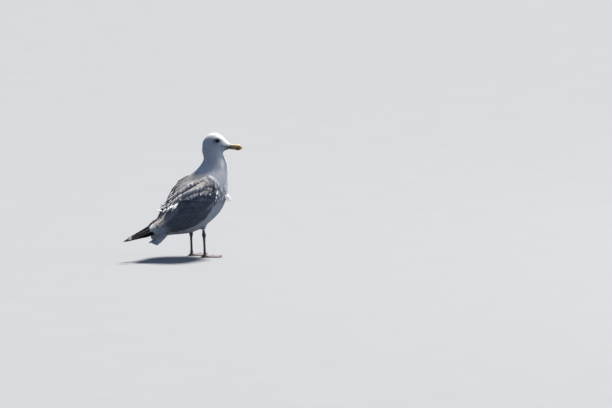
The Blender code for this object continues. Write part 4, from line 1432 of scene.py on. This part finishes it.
def closed_piece(name, points, faces, material):
    mesh = bpy.data.meshes.new(name)
    mesh.from_pydata(np.asarray(points).tolist(), [], faces)
    work = bmesh.new()
    work.from_mesh(mesh)
    bmesh.ops.recalc_face_normals(work, faces=work.faces)
    work.to_mesh(mesh)
    work.free()
    mesh.materials.append(material)
    mesh.shade_smooth()
    return new_object(name, mesh)


def ball(name, centre, radius, axis, material):
    """An eyeball whose pole lies on axis, with each vertex's angles from the pole and round it."""
    rings, turns = 40, 48
    axis = unit(axis)
    aside = unit(np.cross(axis, [0, 0, 1.0]))
    above = np.cross(aside, axis)
    tilt = np.linspace(0, math.pi, rings + 1)[1:-1]
    turn = np.linspace(0, math.tau, turns, endpoint=False)
    tilts = np.concatenate([[0], np.repeat(tilt, turns), [math.pi]])
    spins = np.concatenate([[0], np.tile(turn, len(tilt)), [0]])
    bulge = 1 + 0.035 * bump(tilts, 0, 0.55)  # of the cornea
    ways = (
        axis * np.cos(tilts)[:, None]
        + (aside * np.cos(spins)[:, None] + above * np.sin(spins)[:, None]) * np.sin(tilts)[:, None]
    )
    last = len(tilts) - 1
    faces = [(0, 1 + k, 1 + (k + 1) % turns) for k in range(turns)]
    faces += [(last, last - turns + (k + 1) % turns, last - turns + k) for k in range(turns)]
    for i in range(len(tilt) - 1):
        for k in range(turns):
            a, b = 1 + i * turns + k, 1 + i * turns + (k + 1) % turns
            faces.append((a, a + turns, b + turns, b))
    piece = closed_piece(name, centre + ways * (radius * bulge)[:, None], faces, material)
    mark(piece.data, "tilt", np.degrees(tilts))
    mark(piece.data, "spin", spins)
    return piece


def eye_finish():
    made, tree, shader, _ = finish("eye_glass", 0.16, clear=0.6)
    tilt, spin = tree.attribute("tilt"), tree.attribute("spin")
    aside, above = (tree.times(tree.calc(way, spin), 4.0) for way in ("SINE", "COSINE"))
    fibre = tree.noise(tree.xyz(aside, above, tree.times(tilt, 0.02)), 5.0, 4.0)
    iris = tree.blend(fibre, rgb(0.012, 0.008, 0.006), rgb(0.040, 0.024, 0.013))
    colour = tree.blend(tree.rise(tilt, 27.0, 29.0), rgb(0.003, 0.003, 0.004), iris)
    colour = tree.blend(tree.rise(tilt, 42.0, 46.0), colour, rgb(0.02, 0.012, 0.01))
    tree.fill(shader.inputs["Base Color"], colour)
    shader.inputs["Specular IOR Level"].default_value = 0.15
    return made


def make_eyes():
    glass = eye_finish()
    lid = skin_like("lid_skin", rgb(0.050, 0.036, 0.032), rgb(0.016, 0.012, 0.011), 2600.0)
    for side, out in SIDES.items():
        centre = centre_of("eye_" + side)
        axis, ahead = (
            turn_vectors(np.array(way), centre[2]) for way in ([0.20, out, 0.06], [1.0, 0, -0.12])
        )
        eye = ball("eyeball_" + side, centre, EYE_RADIUS * 0.985, axis, glass)
        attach(eye, "root")
        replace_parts(eye, "eye_" + side)
        # the ring of bare lid skin that frames the eye, drawn out a little to both corners
        axis = unit(axis)
        ahead = unit(ahead - axis * ahead.dot(axis))
        above = np.cross(axis, ahead)
        above = above if above[2] > 0 else -above
        points, rings, turns = [], 64, 10
        for i in range(rings):
            angle = math.tau * i / rings
            corner = abs(math.cos(angle)) ** 6
            open_tilt = math.radians(46 + 6 * corner - 5 * max(math.sin(angle), 0))
            way = ahead * math.cos(angle) + above * math.sin(angle)
            spoke = axis * math.cos(open_tilt) + way * math.sin(open_tilt)
            across = way * math.cos(open_tilt) - axis * math.sin(open_tilt)
            thick = (0.62 + 0.10 * math.sin(i * 2.7)) * MM * (1 + 0.3 * corner)
            middle = centre + spoke * EYE_RADIUS
            for turn in np.arange(turns) * math.tau / turns:
                round_it = spoke * math.cos(turn) * 0.8 + across * math.sin(turn) * 1.35
                points.append(middle + round_it * thick)
        ring = closed_piece("lid_" + side, points, tube_faces(rings, turns, closed=True), lid)
        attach(ring, "root")


# ---------------------------------------------------------------- bare legs and feet
def skin_like(name, light, dark, scale, flatten=1.0, tinted=False):
    """Bare skin in small plates, with darker creases. If tinted, its colour comes mostly from the mesh."""
    made, tree, shader, place = finish(name, 0.48)
    scutes = place_group(tree, SCUTES, Place=place, Scale=scale, Flatten=flatten)
    grain = place_group(tree, HORN, Place=place, Scale=900.0, Stretch=1.0)
    if tinted:
        tint = tree.rise(scutes["Tint"], 0.0, 1.0, 0.86, 1.10, "LINEAR")
        colour = tree.scaled(tree.attribute("pelt", "Color"), tint)
        colour = tree.blend(tree.times(grain["Cloud"], 0.25), colour, light)
    else:
        colour = tree.blend(scutes["Tint"], light, dark)
    colour = tree.blend(tree.times(scutes["Crease"], 0.55), colour, dark)
    tree.fill(shader.inputs["Base Color"], colour)
    tree.fill(shader.inputs["Roughness"], tree.rise(scutes["Height"], 0.0, 1.0, 0.62, 0.42, "LINEAR"))
    height = tree.plus(scutes["Height"], tree.times(grain["Height"], 0.5))
    relief(tree, shader, height, 0.0004, 0.7)
    return made


LEG_PINK, LEG_GREY = np.array([0.28, 0.205, 0.20]), np.array([0.16, 0.14, 0.145])
TOES = (-27, 2, 30)  # where the front toes point, in degrees outward
HOCK_Z = 69 * MM


def plates(run, pitch):
    """The height of plates that lie one after another, from -0.7 in the creases."""
    return np.abs(np.sin(run / pitch * math.pi)) ** 0.5 - 0.7


def make_legs():
    bare = skin_like("leg_skin", rgb(0.27, 0.20, 0.19), rgb(0.09, 0.065, 0.06), 780.0, 1.3, tinted=True)
    for side, out in SIDES.items():
        nodes = ["shank_" + side, "foot_" + side]
        piece = remeshed("leg_" + side, nodes, 0.62 * MM, 0.2 * MM)
        mesh = piece.data
        points = relax(read(mesh), edge_list(mesh), 3, 0.4)
        write(mesh, points)
        normals = read(mesh, "normal")
        shank = centre_of("shank_" + side)
        heel = np.array([(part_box("claw_hind_" + side)[1][0] + 11.6 * MM), shank[1], 0])
        x, y, z = points.T
        # broad plates down the front of the shank, and rings across the toes
        front = ease(normals[:, 0], 0.1, 0.7) * ease(z, 9 * MM, 14 * MM) * (1 - ease(z, 62 * MM, 68 * MM))
        shift = 0.16 * plates(z, 2.3 * MM) * front
        reach = np.hypot(x - heel[0], y - heel[1])
        turn = np.degrees(np.arctan2((y - heel[1]) * out, x - heel[0]))
        off_toe = np.min([np.abs(np.radians(turn - a)) * reach for a in TOES], axis=0)
        on_toe = bump(off_toe, 0, 2.6 * MM) * (z < 9 * MM) * ease(reach, 6 * MM, 11 * MM)
        shift += 0.16 * plates(reach, 1.9 * MM) * on_toe * ease(normals[:, 2], 0.1, 0.6)
        web = (1 - bump(off_toe, 0, 3.2 * MM)) * (z < 4 * MM) * ease(normals[:, 2], 0.3, 0.8)
        shift += 0.12 * np.sin(reach / (3.1 * MM) * math.pi + turn * 0.12) * web
        shift += 0.12 * bump(z, HOCK_Z, 5 * MM) * speckle(points, 1.6 * MM, 9)
        points = points + normals * shift[:, None] * MM
        points[:, 2] = np.maximum(points[:, 2], 0.02 * MM)
        write(mesh, points)
        colour = mix(LEG_PINK, LEG_GREY, np.clip(0.35 + 0.4 * speckle(points, 12 * MM, 4), 0, 1))
        colour = mix(colour, [0.44, 0.31, 0.28], 0.5 * web)
        colour = mix(colour, LEG_GREY * 0.8, 0.5 * bump(z, HOCK_Z, 7 * MM))
        colour = mix(colour, [0.13, 0.09, 0.08], 0.7 * (normals[:, 2] < -0.6) * (z < 2 * MM))  # the soles
        colour_mesh(mesh, colour)
        mesh.materials.append(bare)
        mesh.shade_smooth()
        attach(piece, "root")
        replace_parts(piece, *nodes)
        print(piece.name, "faces", len(mesh.polygons))


CLAW_FLAT = 0.78  # a claw's width, and its depth below, against its depth above


def make_claws():
    """Each claw as a curved horn, deep and narrow, ending in a worn point."""
    horn = horn_finish("claw_horn", 0.32, 900.0, 0.2, 0.0001)
    for side in SIDES:
        heel = centre_of("shank_" + side)
        for toe in ("inner", "middle", "outer", "hind"):
            node = f"claw_{toe}_{side}"
            low, high = (np.array(corner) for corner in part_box(node))
            centre = (low + high) / 2
            ahead = unit((centre - heel) * [1, 1, 0]) if toe != "hind" else np.array([-1.0, 0.0, 0.0])
            span = abs(np.dot(high - low, np.abs(ahead)))
            half = min(span / 2, np.linalg.norm((high - low)[:2]) / 2)
            root_z, tip_z = high[2] - 1.35 * MM, low[2] + 0.35 * MM
            upward = np.array([0, 0, 1.0])
            aside = np.cross(upward, ahead)
            points, rings, turns = [], 14, 12
            for i in range(rings):
                t = i / (rings - 1)
                middle = centre + ahead * half * (2 * t - 1)
                middle[2] = root_z + (tip_z - root_z) * t**1.7 + 0.5 * MM * math.sin(math.pi * t)
                thick = (1.4 - 1.08 * t**1.3) * MM
                if toe == "hind":
                    thick *= 0.85
                for turn in np.arange(turns) * math.tau / turns:
                    squeeze = CLAW_FLAT if math.sin(turn) < 0 else 1.0
                    round_it = aside * math.cos(turn) * CLAW_FLAT + upward * math.sin(turn) * squeeze
                    points.append(middle + round_it * thick)
            points = np.array(points)
            points[:, 2] = np.maximum(points[:, 2], 0.03 * MM)
            faces = tube_faces(rings, turns)
            faces += [tuple(range(turns)), tuple(range((rings - 1) * turns, rings * turns))]
            piece = closed_piece(node + "_horn", points, faces, horn)
            shade = np.linspace(1.6, 0.7, rings).repeat(turns)[:, None]
            colour_mesh(piece.data, np.array([0.045, 0.032, 0.026]) * shade)
            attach(piece, "root")
            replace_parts(piece, node)


make_eyes()
make_legs()
make_claws()


# ---------------------------------------------------------------- floor, light and camera
def make_stage():
    mesh = bpy.data.meshes.new("floor")
    half = 40.0
    corners = [(x * half, y * half, 0) for x, y in ((-1, -1), (1, -1), (1, 1), (-1, 1))]
    mesh.from_pydata(corners, [], [(0, 1, 2, 3)])
    floor = new_object("floor", mesh)
    made, tree, shader, place = finish("pale_floor", 0.75)
    pale = tree.blend(tree.noise(place, 6.0, 4.0), rgb(0.268, 0.273, 0.277), rgb(0.281, 0.286, 0.290))
    seen = tree.add("ShaderNodeLightPath", out="Is Camera Ray")  # it throws less light back up than it shows
    tree.fill(shader.inputs["Base Color"], tree.blend(seen, rgb(0.035, 0.042, 0.055), pale))
    mesh.materials.append(made)
    world = bpy.data.worlds.new("studio")
    bpy.context.scene.world = world
    world.use_nodes = True
    sky = Tree(world.node_tree)
    around = sky.add("ShaderNodeBackground", {"Color": rgb(0.44, 0.61, 1.0), "Strength": 0.3})
    seen = sky.add("ShaderNodeBackground", {"Color": rgb(0.69, 0.705, 0.72), "Strength": 1.0})
    eye_ray = sky.add("ShaderNodeLightPath", out="Is Camera Ray")
    both = sky.add("ShaderNodeMixShader", {0: eye_ray, 1: around, 2: seen})
    sky.add("ShaderNodeOutputWorld", {"Surface": both}, out=None)
    for name, kind, place, size, power, colour in (
        ("key", "SUN", (1.55, 0.46, 3.1), math.radians(14), 8.1, (1.0, 0.97, 0.93)),
        ("fill", "AREA", (2.7, -1.5, 1.3), 2.4, 24.0, (0.70, 0.82, 1.0)),
    ):
        light = bpy.data.lights.new(name, kind)
        setattr(light, "angle" if kind == "SUN" else "size", size)
        light.energy = power
        light.color = colour
        lamp = new_object(name, light)
        lamp.visible_glossy = kind == "SUN"
        lamp.location = place
        aim = Vector((0.0, 0.0, 0.2)) - Vector(place)
        lamp.rotation_euler = aim.to_track_quat("-Z", "Y").to_euler()
    bpy.context.scene.view_settings.view_transform = "Standard"


def make_camera():
    azimuth, elevation, distance = math.radians(-30), math.radians(8), 20.8
    level = math.cos(elevation)
    towards = Vector((math.sin(azimuth) * level, -math.cos(azimuth) * level, math.sin(elevation)))
    right = Vector((math.cos(azimuth), math.sin(azimuth), 0))
    up = towards.cross(right)
    # the feet stand left of the middle and below it
    feet, beside, above = Vector((0.0693, 0, 0)), 0.3274, 0.1607
    aim = feet + right * beside + up * above
    data = bpy.data.cameras.new("camera")
    data.lens = 400
    data.sensor_width = 36
    data.clip_end = 200
    camera = new_object("camera", data)
    camera.location = aim + towards * distance
    camera.rotation_euler = (-towards).to_track_quat("-Z", "Y").to_euler()
    bpy.context.scene.camera = camera


make_stage()
make_camera()
